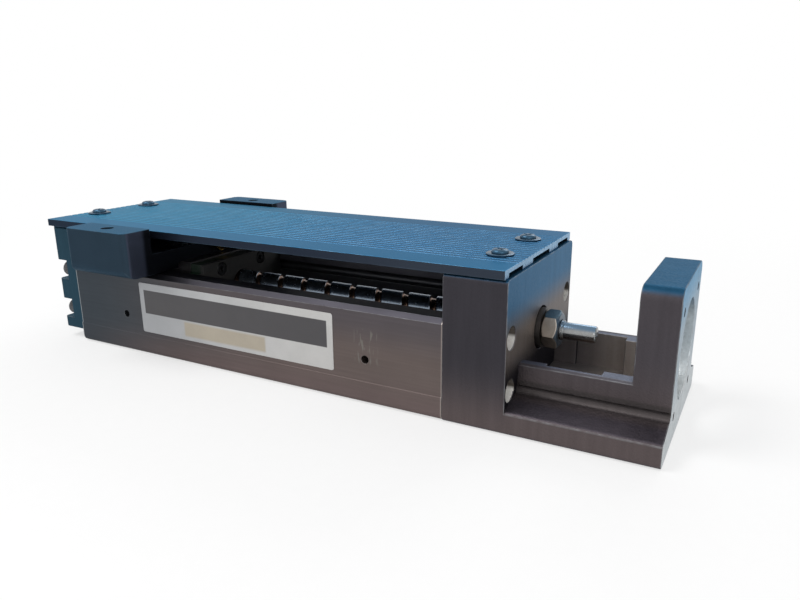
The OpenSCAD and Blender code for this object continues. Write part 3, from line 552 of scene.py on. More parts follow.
def solids(node):
    """Lowest and highest corner of each separate solid of a node, in order along X, Y and Z."""
    shape = bmesh.new()
    shape.from_mesh(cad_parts[node].data)
    bmesh.ops.remove_doubles(shape, verts=shape.verts, dist=MERGE)
    left = set(shape.verts)
    boxes = []
    while left:
        front = [left.pop()]
        island = list(front)
        while front:
            for edge in front.pop().link_edges:
                for vertex in edge.verts:
                    if vertex in left:
                        left.remove(vertex)
                        front.append(vertex)
                        island.append(vertex)
        low = Vector([min(v.co[i] for v in island) for i in range(3)])
        high = Vector([max(v.co[i] for v in island) for i in range(3)])
        boxes.append((low, high))
    shape.free()
    return sorted(boxes, key=lambda b: [round(c, 5) for c in b[0]])


# ---------- finishes ----------

def colours():
    return bpy.context.scene.linear_module_colours


def sizes():
    return bpy.context.scene.linear_module_sizes


def start_finish(name):
    """An empty material. Returns it and its node tree."""
    material = bpy.data.materials.new(name)
    material.use_nodes = True
    material.node_tree.nodes.clear()
    return material, material.node_tree


def end_finish(tree, inputs, relief=None, depth=0.0):
    """Closes a material with one principled shader. A relief is a pattern that bumps the
    surface by the given depth in millimetres."""
    shader = add(tree, "ShaderNodeBsdfPrincipled", inputs)
    if relief:
        bump = add(tree, "ShaderNodeBump", {
            "Height": relief, "Distance": depth * MM, "Strength": 1.0})
        tree.links.new(bump.outputs[0], shader.inputs["Normal"])
    add(tree, "ShaderNodeOutputMaterial", {"Surface": shader.outputs[0]})


def surface_place(tree, stretch=(1, 1, 1), turn=0.0):
    """Object coordinates in millimetres, turned about Y and squeezed along each axis."""
    place = add(tree, "ShaderNodeTexCoord")
    return add(tree, "ShaderNodeMapping", {
        "Vector": place.outputs["Object"], "Rotation": (0, math.radians(turn), 0),
        "Scale": [1000 * s for s in stretch]}).outputs[0]


def uneven(tree, grain, low, high, detail=2.0, stretch=(1, 1, 1), turn=0.0):
    """A soft pattern with spots of about the given size in millimetres, between two values.

    A stretch below 1 draws the spots longer along that axis."""
    cloud = add(tree, "ShaderNodeTexNoise", {
        "Vector": surface_place(tree, stretch, turn), "Scale": 1 / grain, "Detail": detail,
        "Roughness": 0.55})
    return add(tree, "ShaderNodeMapRange", {
        0: cloud.outputs[0], 1: 0.3, 2: 0.7, 3: low, 4: high}).outputs[0]


def facing(tree, axis, low=0.35, high=0.85):
    """How far a face looks along +X, +Y or +Z of the piece, from 0 to 1."""
    parts = tree.nodes.get("facing")
    if parts is None:
        place = add(tree, "ShaderNodeTexCoord")
        parts = add(tree, "ShaderNodeSeparateXYZ", {0: place.outputs["Normal"]}, name="facing")
    return add(tree, "ShaderNodeMapRange", {
        0: parts.outputs[axis], 1: low, 2: high, 3: 0.0, 4: 1.0},
        interpolation_type="SMOOTHSTEP").outputs[0]


def station(tree, axis, low, high, first=0.0, second=1.0):
    """A value that goes from first to second between two stations in millimetres."""
    parts = tree.nodes.get("stations")
    if parts is None:
        parts = add(tree, "ShaderNodeSeparateXYZ", {0: surface_place(tree)}, name="stations")
    return add(tree, "ShaderNodeMapRange", {
        0: parts.outputs[axis], 1: low, 2: high, 3: first, 4: second},
        interpolation_type="SMOOTHSTEP").outputs[0]


def painted(tree, base, layers=(), patterns=()):
    """A colour made of a base, layers laid over it and grey patterns that shade it.

    A layer is a colour followed by masks, and it covers where all its masks are 1. A mask is a
    socket, or what station() takes after the tree. A colour is a socket, a value or a hex."""
    def together(values):
        result, *others = [station(tree, *v) if isinstance(v, tuple) else v for v in values]
        for value in others:
            result = add(tree, "ShaderNodeMath", {0: result, 1: value},
                         operation="MULTIPLY").outputs[0]
        return result

    colour = linear(base) if isinstance(base, str) else base
    for cover, *masks in layers:
        cover = linear(cover) if isinstance(cover, str) else cover
        colour = add(tree, "ShaderNodeMix", {0: together(masks), 6: colour, 7: cover},
                     data_type="RGBA").outputs[2]
    if patterns:
        colour = add(tree, "ShaderNodeMix", {0: 1.0, 6: colour, 7: together(patterns)},
                     data_type="RGBA", blend_type="MULTIPLY").outputs[2]
    return colour


def rubbed_and_highlit_edges(tree, share, grain=3.0):
    """A pale line on the broken edges, from 0 to share: partly where handling has rubbed a coating
    off and partly a painted highlight.
    """
    mark = add(tree, "ShaderNodeAttribute", attribute_name="bevel_faces")
    patches = uneven(tree, grain, 0.0, share, 3.0)
    return add(tree, "ShaderNodeMath", {0: mark.outputs["Fac"], 1: patches},
               operation="MULTIPLY").outputs[0]


def blackened_rail_steel():
    """Carbon steel, ground lengthwise and blackened: dark satin with fine lengthwise streaks, a
    painted cool reflection towards the end housing and a painted warm one towards the motor, and a
    steel grey line on its edges, partly rubbed by handling and partly a painted highlight."""
    material, tree = start_finish("blackened_rail_steel")
    # grinding marks are about 0.1 mm apart and are drawn 0.7 mm apart, so that they show
    streaks = uneven(tree, 0.7, 0.95, 1.05, 3.0, (0.03, 1, 1))
    clouds = uneven(tree, 16, 0.94, 1.06)
    # handling scratches beside the side hole are 0.1 mm wide and are drawn 0.5 mm wide
    scratch = uneven(tree, 0.9, -2.2, 0.8, 0.0, (1, 1, 0.25), -35)
    tracks = add(tree, "ShaderNodeAttribute", attribute_name="bare_metal").outputs["Fac"]
    near_end, far_end = RAIL_X1 / MM, RAIL_X0 / MM
    # the rail's tone moves from a painted cool reflection at the end housing to a painted warm one
    # at the motor
    colour = painted(tree, colours().rail_tone_cool_reflection, (
        (colours().rail_tone_warm_reflection, ("X", -95, 5)),
        ("#545054", ("Z", 15, 27, 0.0, 0.85), ("X", -70, 0)),
        # painted warm reflection from below, lightening the lower part of the rail
        ("#6a5d5c", ("Z", 12, 1, 0.0, 0.8), ("X", -110, -30)),
        ("#75726d", scratch, ("X", 22, 24), ("X", 32, 29), ("Z", 12, 14), ("Z", 24, 22),
         ("Y", -29, -29.5)),
        # painted light on the rail's inner faces, lifting the shaded gap under the cover
        ("#706f77", facing(tree, "Y", 0.4, 0.1), ("Y", -22, -20), ("Z", 0.5, 1)),
        # painted shade on the rail's top land, under the table and the cover
        ("#303037", facing(tree, "Z"), ("Z", 24, 27)),
        ("#5b5c60", tracks),
        ("#8e9193", rubbed_and_highlit_edges(tree, 0.35), ("Z", 9, 12)),
        # painted highlights along the rail's two end edges
        ("#9da1a4", ("X", far_end + 0.45, far_end + 0.3)),
        ("#8c837f", ("X", near_end - 0.45, near_end - 0.3))),
        (streaks, clouds))
    rough = uneven(tree, 16, 0.38, 0.46)
    end_finish(tree, {
        "Base Color": colour, "Roughness": rough, "Metallic": 0.9, "Specular IOR Level": 0.3,
        "Specular Tint": (0.5, 0.5, 0.5, 1)}, streaks, 0.01)
    return material


def black_anodised_casting():
    """Cast aluminium, tumbled and black anodised: near black with a faint cast grain, a painted
    blue sky reflection on the milled upper faces, a painted warm reflection near the base and a
    painted cool one over the end housing, bare and bright where a seat or an end face was cut
    afterwards, with painted light, shade and reflections in the trough, on the end face and in the
    seats."""
    material, tree = start_finish("black_anodised_casting")
    # the cast skin has grains of about 0.3 mm, drawn 0.6 mm wide, so that they show
    grain = uneven(tree, 0.6, 0.0, 1.0, 3.0)
    speckle = uneven(tree, 0.6, 0.95, 1.06, 3.0)
    wiped = uneven(tree, 2.5, 0.93, 1.08, 2.0, (1, 1, 0.08))
    turned_marks = uneven(tree, 1.2, 0.9, 1.06, 2.0, (1, 0.3, 1))
    # bare cut metal with a painted blue sky reflection, bluer towards the top
    cut_metal_and_sky_reflection = painted(tree, "#d2d4d3", (
        ("#b4bdc2", ("Z", 6, 22)), ("#76a5c4", ("Z", 28, 44))), (turned_marks,))
    block, flange, tail = BLOCK_X1 / MM, FLANGE_X0 / MM, RAIL_X0 / MM
    cut = add(tree, "ShaderNodeAttribute", attribute_name="bare_metal").outputs["Fac"]
    seats = station(tree, "X", block + 1.25, block + 2.25, 1.0, 0.0)
    ahead = ("X", block - 0.25, block + 0.25)
    along, upward = facing(tree, "X"), facing(tree, "Z")
    trough = (ahead, ("X", flange + 0.25, flange - 0.25), ("Z", 19, 16), ("Z", 0.5, 1),
              ("Y", -18.4, -18), ("Y", 18.6, 18.4))
    # towards the foot the base tone is a painted warm reflection from below over the black
    # anodising
    colour = painted(tree, colours().anodised_low_warm_reflection, (
        (colours().anodised_side, ("Z", 2, 26)),
        ("#3b393e", ("Z", 0, 22), ("X", block + 0.75, block - 0.25)),
        ("#443f45", ahead, facing(tree, "Z", 0.5, 0.9), ("Z", 9, 8)),
        # painted shade on the ledge's fillet, dimming its highlight
        ("#4a4545", ahead, ("Z", 8.6, 9.4), ("Z", 13, 12.2)),
        # painted light in the shaded trough, brighter where the light falls along it
        ("#857f7f", *trough),
        ("#9a928d", *trough, ("X", block + 6.25, flange - 10.25)),
        # painted blue sky reflection on the upward step faces in the trough
        ("#414a5d", *trough, upward, ("Z", 8, 11)),
        # painted shade on the lower part of the end face
        ("#343034", along, ("Z", 22, 14)),
        # painted reflection of the lock nut on the end face
        ("#857b75", along, ("Z", 14, 22)),
        # painted blue sky reflection on the upper end face
        (colours().end_face_sky_reflection, along, ("Z", 25, 36)),
        # painted cool reflection over the end housing
        (colours().end_housing_cool_reflection, ("X", tail + 1.75, tail + 0.25)),
        # painted blue sky reflection on the upward faces
        (colours().upward_sky_reflection, upward, ("Z", 28, 36)),
        (cut_metal_and_sky_reflection, cut),
        # painted shade in the screw seats, and a painted highlight on their upward faces
        ("#5c5650", cut, seats),
        ("#f6f3ee", cut, seats, facing(tree, "Z", -0.1, 0.3)),
        ("#85878a", rubbed_and_highlit_edges(tree, 0.6))), (speckle, wiped))
    # the seats of the screws are cut rough and scatter light more than the coated skin
    seat = add(tree, "ShaderNodeMath", {0: cut, 1: seats}, operation="MULTIPLY")
    metallic = add(tree, "ShaderNodeMix", {0: seat.outputs[0], 2: 0.9, 3: 0.3},
                   data_type="FLOAT").outputs[0]
    # the flange's bore is turned to a fine finish
    bore = add(tree, "ShaderNodeMath", {
        0: facing(tree, "X", 0.6, 0.2), 1: cut}, operation="MULTIPLY")
    fine = add(tree, "ShaderNodeMath", {
        0: bore.outputs[0], 1: station(tree, "X", block + 2.25, block + 4.25)},
        operation="MULTIPLY")
    rough = add(tree, "ShaderNodeMix", {
        0: fine.outputs[0], 2: uneven(tree, 0.6, 0.4, 0.52), 3: 0.36},
        data_type="FLOAT").outputs[0]
    end_finish(tree, {
        "Base Color": colour, "Roughness": rough, "Metallic": metallic,
        "Specular IOR Level": 0.3, "Specular Tint": (0.5, 0.56, 0.62, 1)}, grain, 0.03)
    return material


def blue_black_anodised_extrusion():
    """Extruded aluminium with a deep anodised film: a painted blue sky reflection along the drawn
    top, with a painted bluer highlight along its near margin and painted shade in its grooves,
    fine die lines along its length, and pale bare metal where the saw cut it."""
    material, tree = start_finish("blue_black_anodised_extrusion")
    # die lines are about 0.1 mm wide and are drawn 0.5 mm wide, so that they show
    lines = uneven(tree, 0.5, 0.96, 1.04, 3.0, (0.01, 1, 1))
    clouds = uneven(tree, 22, 0.96, 1.04)
    saw = uneven(tree, 0.5, 0.86, 1.05, 2.0, (1, 1, 0.2))
    sawn = add(tree, "ShaderNodeAttribute", attribute_name="bare_metal").outputs["Fac"]
    top, upward = COVER_TOP / MM, facing(tree, "Z", 0.2, 0.6)
    colour = painted(tree, "#272e3b", (
        ("#343b46", ("X", 0, 50)),
        # painted blue sky reflection on the upward faces, deeper towards the end housing
        (colours().cover_end_sky_reflection, upward),
        (colours().cover_top_sky_reflection, upward, ("X", -100, 30)),
        # painted bluer highlight along the near margin of the top
        ("#216a93", upward, ("Y", -20, -21.5, 0.0, 0.6)),
        # painted shade on the floors of the grooves
        ("#1f4056", upward, ("Z", top - 0.12, top - 0.25)),
        (painted(tree, "#a3bdd4", (), (saw,)), sawn),
        ("#7fa3bd", rubbed_and_highlit_edges(tree, 0.4, 6.0))), (lines, clouds))
    end_finish(tree, {
        "Base Color": colour, "Roughness": 0.4, "Metallic": 0.9, "Specular IOR Level": 0.3,
        "Specular Tint": (0.5, 0.62, 0.72, 1)}, lines, 0.01)
    return material


def satin_anodised_table():
    """Milled aluminium, bead blasted and black anodised: navy black sides, painted light on the +X
    faces, painted shade under the cover, a painted teal blue sky reflection on the upper faces and
    thin grey edges, partly rubbed and partly a painted highlight."""
    material, tree = start_finish("satin_anodised_table")
    # the blasted skin has pits of about 0.1 mm, drawn 0.5 mm wide, so that they show
    grain = uneven(tree, 0.5, 0.0, 1.0, 2.0)
    clouds = uneven(tree, 9, 0.95, 1.05)
    colour = painted(tree, colours().table_side, (
        # painted light on the +X faces
        ("#414757", facing(tree, "X", 0.85, 0.98)),
        # painted shade on the faces under the cover, between the ears
        ("#15171c", ("Y", -36, -34), ("Y", 36, 34)),
        # painted teal blue sky reflection on the upward faces
        (colours().table_top_sky_reflection, facing(tree, "Z"), ("Z", 44, 46)),
        ("#63727e", rubbed_and_highlit_edges(tree, 0.35))), (clouds,))
    end_finish(tree, {
        "Base Color": colour, "Roughness": uneven(tree, 0.5, 0.4, 0.5),
        "Metallic": 0.9, "Specular IOR Level": 0.3, "Specular Tint": (0.5, 0.6, 0.7, 1)},
        grain, 0.015)
    return material


def printed_film(low, high):
    """Printed polyester film: satin and pale, with a dark band inside a wide pale margin and a
    yellowed cream patch below it, all of them bare of words."""
    material, tree = start_finish("printed_film")
    long, tall = (high.x - low.x) / MM, (high.z - low.z) / MM
    x0, z0 = low.x / MM, low.z / MM

    def panel(left, right, bottom, top, soft):
        return (("X", x0 + left - soft, x0 + left + soft),
                ("X", x0 + right + soft, x0 + right - soft),
                ("Z", z0 + bottom - soft, z0 + bottom + soft),
                ("Z", z0 + top + soft, z0 + top - soft))

    clouds = uneven(tree, 7, 0.95, 1.03)
    # the film is printed in dots of about 0.1 mm, drawn 0.3 mm wide, so that they show
    dots = uneven(tree, 0.3, 0.98, 1.02, 1.0)
    colour = painted(tree, "#a3a5a8", (
        (colours().film_pale, ("X", x0, x0 + long)),
        (colours().film_dark, *panel(2.1, long - 2.1, tall * 0.39, tall * 0.86, 0.12)),
        ("#a59c8c", *panel(long * 0.25, long * 0.68, 1.4, tall * 0.36, 0.5))),
        (clouds, dots))
    ripple = uneven(tree, 5, 0.0, 1.0, 1.0)
    end_finish(tree, {"Base Color": colour, "Roughness": 0.4, "IOR": 1.57}, ripple, 0.02)
    return material


def machined_steel(name, tone, stain, rough, marks=(1, 1, 1), metallic=0.85):
    """Turned or ground steel: satin grey with fine tool marks and a thin film of oil that
    stains it in patches. Marks squeezes the tool marks along each axis."""
    material, tree = start_finish(name)
    # tool marks are about 0.05 mm apart and are drawn 0.3 mm apart, so that they show
    lines = uneven(tree, 0.3, 0.93, 1.06, 2.0, marks)
    patches = uneven(tree, 4, 0.0, 0.6, 3.0)
    end_finish(tree, {
        "Base Color": painted(tree, tone, ((stain, patches),), (lines,)),
        "Roughness": rough, "Metallic": metallic}, lines, 0.01)
    return material


def oiled_nut_steel():
    """Turned steel nut under a film of oil: warm grey on the flats that face the side, cooler and
    darker on its end and its upward flats by painted shade and sky reflection."""
    material, tree = start_finish("oiled_nut_steel")
    # facing marks are about 0.1 mm apart and are drawn 0.4 mm apart, so that they show
    lines = uneven(tree, 0.4, 0.93, 1.05, 2.0, (1, 0.3, 0.3))
    patches = uneven(tree, 3, 0.0, 0.4, 3.0)
    colour = painted(tree, "#a39a8f", (
        ("#6b6058", patches),
        # painted shade and sky reflection on the end face and the upward flats
        ("#4d5c69", facing(tree, "X")),
        ("#2c4654", facing(tree, "Z", 0.5, 0.8))), (lines,))
    end_finish(tree, {"Base Color": colour, "Roughness": 0.36, "Metallic": 0.9}, lines, 0.01)
    return material


def polished_ball_steel():
    """Lapped bearing steel balls: near mirror bright, with a faint straw tint from the grease."""
    material, tree = start_finish("polished_ball_steel")
    # the grease lies in patches of about 1 mm
    film = uneven(tree, 1.2, 0.0, 0.5)
    end_finish(tree, {
        "Base Color": painted(tree, "#dcdedf", (("#b9b09a", film),)),
        "Roughness": uneven(tree, 0.8, 0.08, 0.2), "Metallic": 1.0})
    return material


def ground_screw_steel():
    """Induction hardened ball screw steel: bright on the ground journals, blue grey on the lands
    of the thread, with brown oil stains lying in its groove."""
    material, tree = start_finish("ground_screw_steel")
    # stains lie in patches of about 2 mm; turning marks of 0.05 mm are drawn 0.3 mm apart
    patches = uneven(tree, 2.2, 0.0, 0.35, 3.0)
    lines = uneven(tree, 0.3, 0.96, 1.03, 2.0, (1, 0.05, 0.05))
    place = add(tree, "ShaderNodeVectorMath", {
        0: surface_place(tree, (0, 1, 1)), 1: (0, 0, -AXIS_Z / MM)}, operation="ADD")
    out = add(tree, "ShaderNodeVectorMath", {0: place.outputs[0]}, operation="LENGTH")
    groove = add(tree, "ShaderNodeMapRange", {
        0: out.outputs["Value"], 1: 4.95, 2: 4.7, 3: 0.0, 4: 1.0}).outputs[0]
    colour = painted(tree, "#9a9c9d", (
        ("#7d746b", patches),
        # on the shaft beyond the thread: a painted blue sky reflection above and a painted dark
        # reflection of the trough below
        ("#5f7589", facing(tree, "Z", 0.35, 0.75), ("X", 50, 52)),
        ("#3f332b", facing(tree, "Z", -0.1, -0.6), ("X", 50, 52)),
        ("#8fa2b3", ("X", 50, 47.5)),
        ("#6b5446", ("X", 50, 47.5), groove)), (lines,))
    end_finish(tree, {
        "Base Color": colour, "Roughness": uneven(tree, 1.5, 0.2, 0.28),
        "Metallic": 0.95})
    return material


def moulded_rubber(name, tone):
    """Nitrile rubber: matt black, with a slight bloom and the grain of its mould."""
    material, tree = start_finish(name)
    # the mould's grain is about 0.1 mm and is drawn 0.4 mm wide, so that it shows
    bloom = uneven(tree, 3, 0.85, 1.3, 3.0)
    grain = uneven(tree, 0.4, 0.0, 1.0, 2.0)
    end_finish(tree, {
        "Base Color": painted(tree, tone, (), (bloom,)), "Roughness": 0.72,
        "IOR": 1.52}, grain, 0.02)
    return material


def moulded_resin():
    """Acetal resin of the end plates: deep green, satin, with faint flow marks."""
    material, tree = start_finish("moulded_green_resin")
    # flow marks are about 6 mm apart; the mould's grain of 0.1 mm is drawn 0.5 mm wide
    flow = uneven(tree, 6, 0.85, 1.15, 3.0, (1, 0.4, 1))
    grain = uneven(tree, 0.5, 0.0, 1.0, 2.0)
    end_finish(tree, {
        "Base Color": painted(tree, "#0e1f15", (), (flow,)), "Roughness": 0.5,
        "IOR": 1.48}, grain, 0.015)
    return material


def turned_brass():
    """Turned brass of the grease nipple: warm yellow, dulled in patches."""
    material, tree = start_finish("turned_brass")
    # dull patches are about 1.5 mm wide; turning marks of 0.05 mm are drawn 0.3 mm apart
    dull = uneven(tree, 1.5, 0.0, 0.8, 3.0)
    lines = uneven(tree, 0.3, 0.9, 1.08, 2.0, (1, 0.05, 0.05))
    end_finish(tree, {
        "Base Color": painted(tree, "#d2ae66", (("#8f7440", dull),), (lines,)),
        "Roughness": 0.3, "Metallic": 1.0})
    return material


# ---------- the pieces ----------

def finish_nodes(material, *nodes):
    """Gives CAD nodes that keep their own shape a better material."""
    for node in nodes:
        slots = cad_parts[node].data.materials
        for i in range(len(slots)):
            slots[i] = material


class LinearModuleGuideRail(bpy.types.Operator):
    """Breaks the guide rail's edges and dresses it in blackened steel with bare ball tracks"""
    bl_idname = "linear_module.guide_rail"
    bl_label = "Guide Rail"

    def execute(self, context):
        low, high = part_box("track_balls_near")
        spare = 0.4 * MM
        wall = node_high("track_balls_far").y

        def in_track(centre, normal):
            return (wall - 2.6 * MM < abs(centre.y) < wall + spare
                    and low.z - spare < centre.z < high.z + spare and normal.y * centre.y < 0)

        rail = broken_edges("outer_rail", "guide_rail", sizes().rail_edge, in_track)
        dress(rail, blackened_rail_steel(), "rail_steel", "base", "outer_rail")
        return {"FINISHED"}


class LinearModuleHousings(bpy.types.Operator):
    """Rounds the edges of both housings and bares their machined seats and end faces"""
    bl_idname = "linear_module.housings"
    bl_label = "Housings"

    def execute(self, context):
        casting = black_anodised_casting()
        bolts = [(low + high) / 2 for low, high in solids("motor_housing_screws")]
        bore, seat = 14.2 * MM, 3.5 * MM  # radii that hold the bore's and the seats' faces

        def machined(centre, normal):
            if normal.x > 0.9 and centre.x > FLANGE_X1 - 0.1 * MM:
                return True
            off = Vector((0, centre.y, centre.z - AXIS_Z))
            if off.length < bore and centre.x > BLOCK_X1 + 20 * MM:
                return True
            return centre.x < BLOCK_X1 - 0.5 * MM and abs(normal.x) < 0.5 and any(
                math.hypot(centre.y - b.y, centre.z - b.z) < seat for b in bolts)

        def too_fine(place):
            """Edges round the small tapped holes and at the end of the cast fillets."""
            side, rise = abs(place.y) / MM, place.z / MM
            hole_off = 14.14  # of a tapped hole from the screw's axis, sideways and upwards
            hole = math.hypot(side - hole_off, abs(rise - AXIS_Z / MM) - hole_off) < 1.8
            return hole or (19 < side < 23 and 8.5 < rise < 12.5)

        width = sizes().casting_edge
        block = broken_edges(united("motor_housing", "motor_flange"), "bearing_block_and_flange",
                             width, machined, too_fine)
        dress(block, casting, "housing_black", "base", "motor_housing", "motor_flange")
        end = broken_edges("end_housing", "end_block", 0.7 * width)
        dress(end, casting, "housing_black", "base", "end_housing")
        return {"FINISHED"}


class LinearModuleCover(bpy.types.Operator):
    """Dresses the grooved cover and sets its washers and crossed recess screws"""
    bl_idname = "linear_module.cover"
    bl_label = "Cover"

    def execute(self, context):
        cover = broken_edges("top_cover", "grooved_cover", 0.8 * sizes().machined_edge,
                             lambda centre, normal: abs(normal.x) > 0.9)
        dress(cover, blue_black_anodised_extrusion(), "cover_anodised", "base", "top_cover")
        blued = machined_steel("blued_steel", "#36566e", "#28404f", 0.34)
        places = [Vector(((low.x + high.x) / 2, (low.y + high.y) / 2, COVER_TOP))
                  for low, high in solids("cover_washers")]
        washer = ring_mesh("washer", [circle(r * MM, z * MM, 72) for r, z in (
            (1.7, 0), (3.8, 0), (4, 0.12), (4, 0.38), (3.8, 0.5), (1.9, 0.5), (1.7, 0.38))], True)
        washers = repeated("cover_washer_set", washer, places, (0, 0, 0), blued)
        dress(washers, blued, "cover_fixings", "base", "cover_washers")
        top = node_high("cover_screws").z - COVER_TOP
        head = domed_head("domed_head", 5 * MM, top - 0.5 * MM, 3 * MM, 7 * MM)
        seats = [place + Vector((0, 0, 0.5 * MM)) for place in places]
        screws = repeated("cover_screw_set", head, seats, (0, 0, 0), blued, math.pi / 2, 5)
        dress(screws, blued, "cover_fixings", "base", "cover_screws")
        return {"FINISHED"}


class LinearModuleTable(bpy.types.Operator):
    """Breaks the edges of the table that carries the load over the cover"""
    bl_idname = "linear_module.table"
    bl_label = "Table"

    def execute(self, context):
        table = broken_edges("sub_table", "table_with_ears", sizes().machined_edge)
        dress(table, satin_anodised_table(), "table_anodised", "carriage", "sub_table")
        return {"FINISHED"}


class LinearModuleNamePlate(bpy.types.Operator):
    """Lays the blank printed film on the side of the guide rail"""
    bl_idname = "linear_module.name_plate"
    bl_label = "Name Plate"

    def execute(self, context):
        low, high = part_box("name_plate")
        round_r, steps = 0.8 * MM, 6
        outline = []
        for x, z, first in ((high.x, high.z, 0), (low.x, high.z, 1), (low.x, low.z, 2),
                            (high.x, low.z, 3)):
            middle = Vector((x + (round_r if x == low.x else -round_r), 0,
                             z + (round_r if z == low.z else -round_r)))
            for i in range(steps + 1):
                angle = (first + i / steps) * math.pi / 2
                outline.append(middle + round_r * Vector((math.cos(angle), 0, math.sin(angle))))
        middle = (low + high) / 2

        def inset(depth, y):
            return [Vector((middle.x + (p.x - middle.x) * (1 - depth / (high.x - low.x)),
                            y, middle.z + (p.z - middle.z) * (1 - depth / (high.z - low.z))))
                    for p in outline]

        mesh = ring_mesh("film", [
            [Vector((middle.x, high.y, middle.z))], inset(0, high.y),
            inset(0, low.y + 0.06 * MM), inset(0.16 * MM, low.y),
            [Vector((middle.x, low.y, middle.z))]])
        crease(mesh, 12)
        plate = object_of(mesh, "blank_name_plate")
        dress(plate, printed_film(low, high), "plate_film", "base", "name_plate")
        return {"FINISHED"}


class LinearModuleBallScrew(bpy.types.Operator):
    """Winds the ball groove along the screw and turns its journals, shoulders and input end"""
    bl_idname = "linear_module.ball_screw"
    bl_label = "Ball Screw"

    def execute(self, context):
        steel = ground_screw_steel()
        low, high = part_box("ball_screw")
        start, end = RAIL_X0 + 3 * MM, RAIL_X1 - 4 * MM
        lead, groove = sizes().lead, sizes().groove_radius
        rod = high.z - AXIS_Z
        first_turn = 180 + 360 * (start - (RAIL_X0 + 15.5 * MM)) / lead
        thread = wound_rod("ball_thread", steel, start, end - start,
                           (rod, rod + 0.15 * MM, groove), lead, math.radians(first_turn),
                           480, 28)
        nut_end = high.x - 9 * MM
        nut_thread = wound_rod("nut_thread", steel, nut_end - 6.3 * MM, 5.7 * MM,
                               (3 * MM, 3.06 * MM, 0.24 * MM), 0.75 * MM, 0.0, 150, 12)

        def shaft(name, profile):
            mesh = turned(name, [(r * MM, x) for r, x in profile])
            turn = Matrix.Translation((0, 0, AXIS_Z)) @ Matrix.Rotation(math.pi / 2, 4, "Y")
            mesh.transform(turn)
            return object_of(mesh, name)

        rear = shaft("rear_journal", [
            (0, low.x), (2.6, low.x), (3, low.x + 0.4 * MM), (3, low.x + 1.2 * MM),
            (2.7, low.x + 1.2 * MM), (2.7, low.x + 1.9 * MM), (3, low.x + 1.9 * MM),
            (3, low.x + 7 * MM), (3.75, low.x + 7 * MM), (3.75, RAIL_X0 + 1 * MM),
            (4.5, RAIL_X0 + 1 * MM), (4.6, RAIL_X0 + 1.1 * MM), (4.6, start + 0.05 * MM),
            (0, start + 0.05 * MM)])
        front = shaft("front_journal", [
            (0, end - 0.05 * MM), (4.6, end - 0.05 * MM), (4.6, RAIL_X1 - 0.1 * MM),
            (4.5, RAIL_X1), (4, RAIL_X1), (4, nut_end - 6.7 * MM), (3.8, nut_end - 6.5 * MM),
            (2.8, nut_end - 6.5 * MM), (2.8, nut_end - 0.5 * MM), (2.5, nut_end - 0.2 * MM),
            (2.5, high.x - 0.5 * MM), (2.35, high.x - 0.2 * MM), (2.0, high.x),
            (0.5, high.x), (0.4, high.x - 0.5 * MM), (0, high.x - 0.7 * MM)])
        screw = joined("ball_screw_and_journals", [thread, nut_thread, rear, front])
        dress(screw, steel, "screw_steel", "screw", "ball_screw")
        return {"FINISHED"}


class LinearModuleLockNut(bpy.types.Operator):
    """Breaks the edges of the lock nut that holds the bearing's inner rings on the screw"""
    bl_idname = "linear_module.lock_nut"
    bl_label = "Lock Nut"

    def execute(self, context):
        nut = broken_edges("lock_nut", "hexagon_lock_nut", 1.2 * sizes().machined_edge)
        dress(nut, oiled_nut_steel(), "nut_steel", "screw", "lock_nut")
        return {"FINISHED"}


class LinearModuleScrews(bpy.types.Operator):
    """Sets the knurled socket head screws of the housings, the retainer and the end plates"""
    bl_idname = "linear_module.screws"
    bl_label = "Socket Head Screws"

    def execute(self, context):
        black = machined_steel("black_oxide_steel", "#55585c", "#35322d", 0.18)
        dull = machined_steel("dull_black_steel", "#2c2d2f", "#201f1d", 0.4)
        bright = machined_steel("zinc_plated_steel", "#cfd3d6", "#8f9298", 0.28, metallic=0.95)
        # which way the heads look along X, their width and height, socket and shank
        sets = (
            ("end_housing_screws", "end_block_screw_set", "base", black, "black_screws",
             (-1,), 5.5, 3, 2.5, 3),
            ("motor_housing_screws", "bearing_block_screw_set", "base", bright, "bright_screws",
             (1,), 5.5, 3, 2.5, 3),
            ("retainer_screws", "retainer_screw_set", "base", dull, "black_screws",
             (-1,), 4.5, 2, 2, 2.5),
            ("end_plate_screws", "end_plate_screw_set", "carriage", dull, "black_screws",
             (-1, 1), 4.5, 1.4, 1.5, 2.5))
        for node, name, body, steel, slot, sides, wide, tall, socket, shank in sets:
            boxes = solids(node)
            length = (boxes[0][1].x - boxes[0][0].x) / MM - tall
            head = socket_head(node + "_head", wide * MM, tall * MM, socket * MM, shank * MM,
                               length * MM, sizes().knurl_ribs)
            middle = (node_low(node).x + node_high(node).x) / 2
            parts = []
            for side in sides:
                seats = []
                for low, high in boxes:
                    centre = (low + high) / 2
                    if len(sides) == 1 or (centre.x > middle) == (side > 0):
                        centre.x = high.x - tall * MM if side > 0 else low.x + tall * MM
                        seats.append(centre)
                parts.append(repeated(f"{name}{side}", head.copy(), seats,
                                      (0, side * math.pi / 2, 0), steel, math.pi, 7))
            dress(joined(name, parts), steel, slot, body, node)
        return {"FINISHED"}


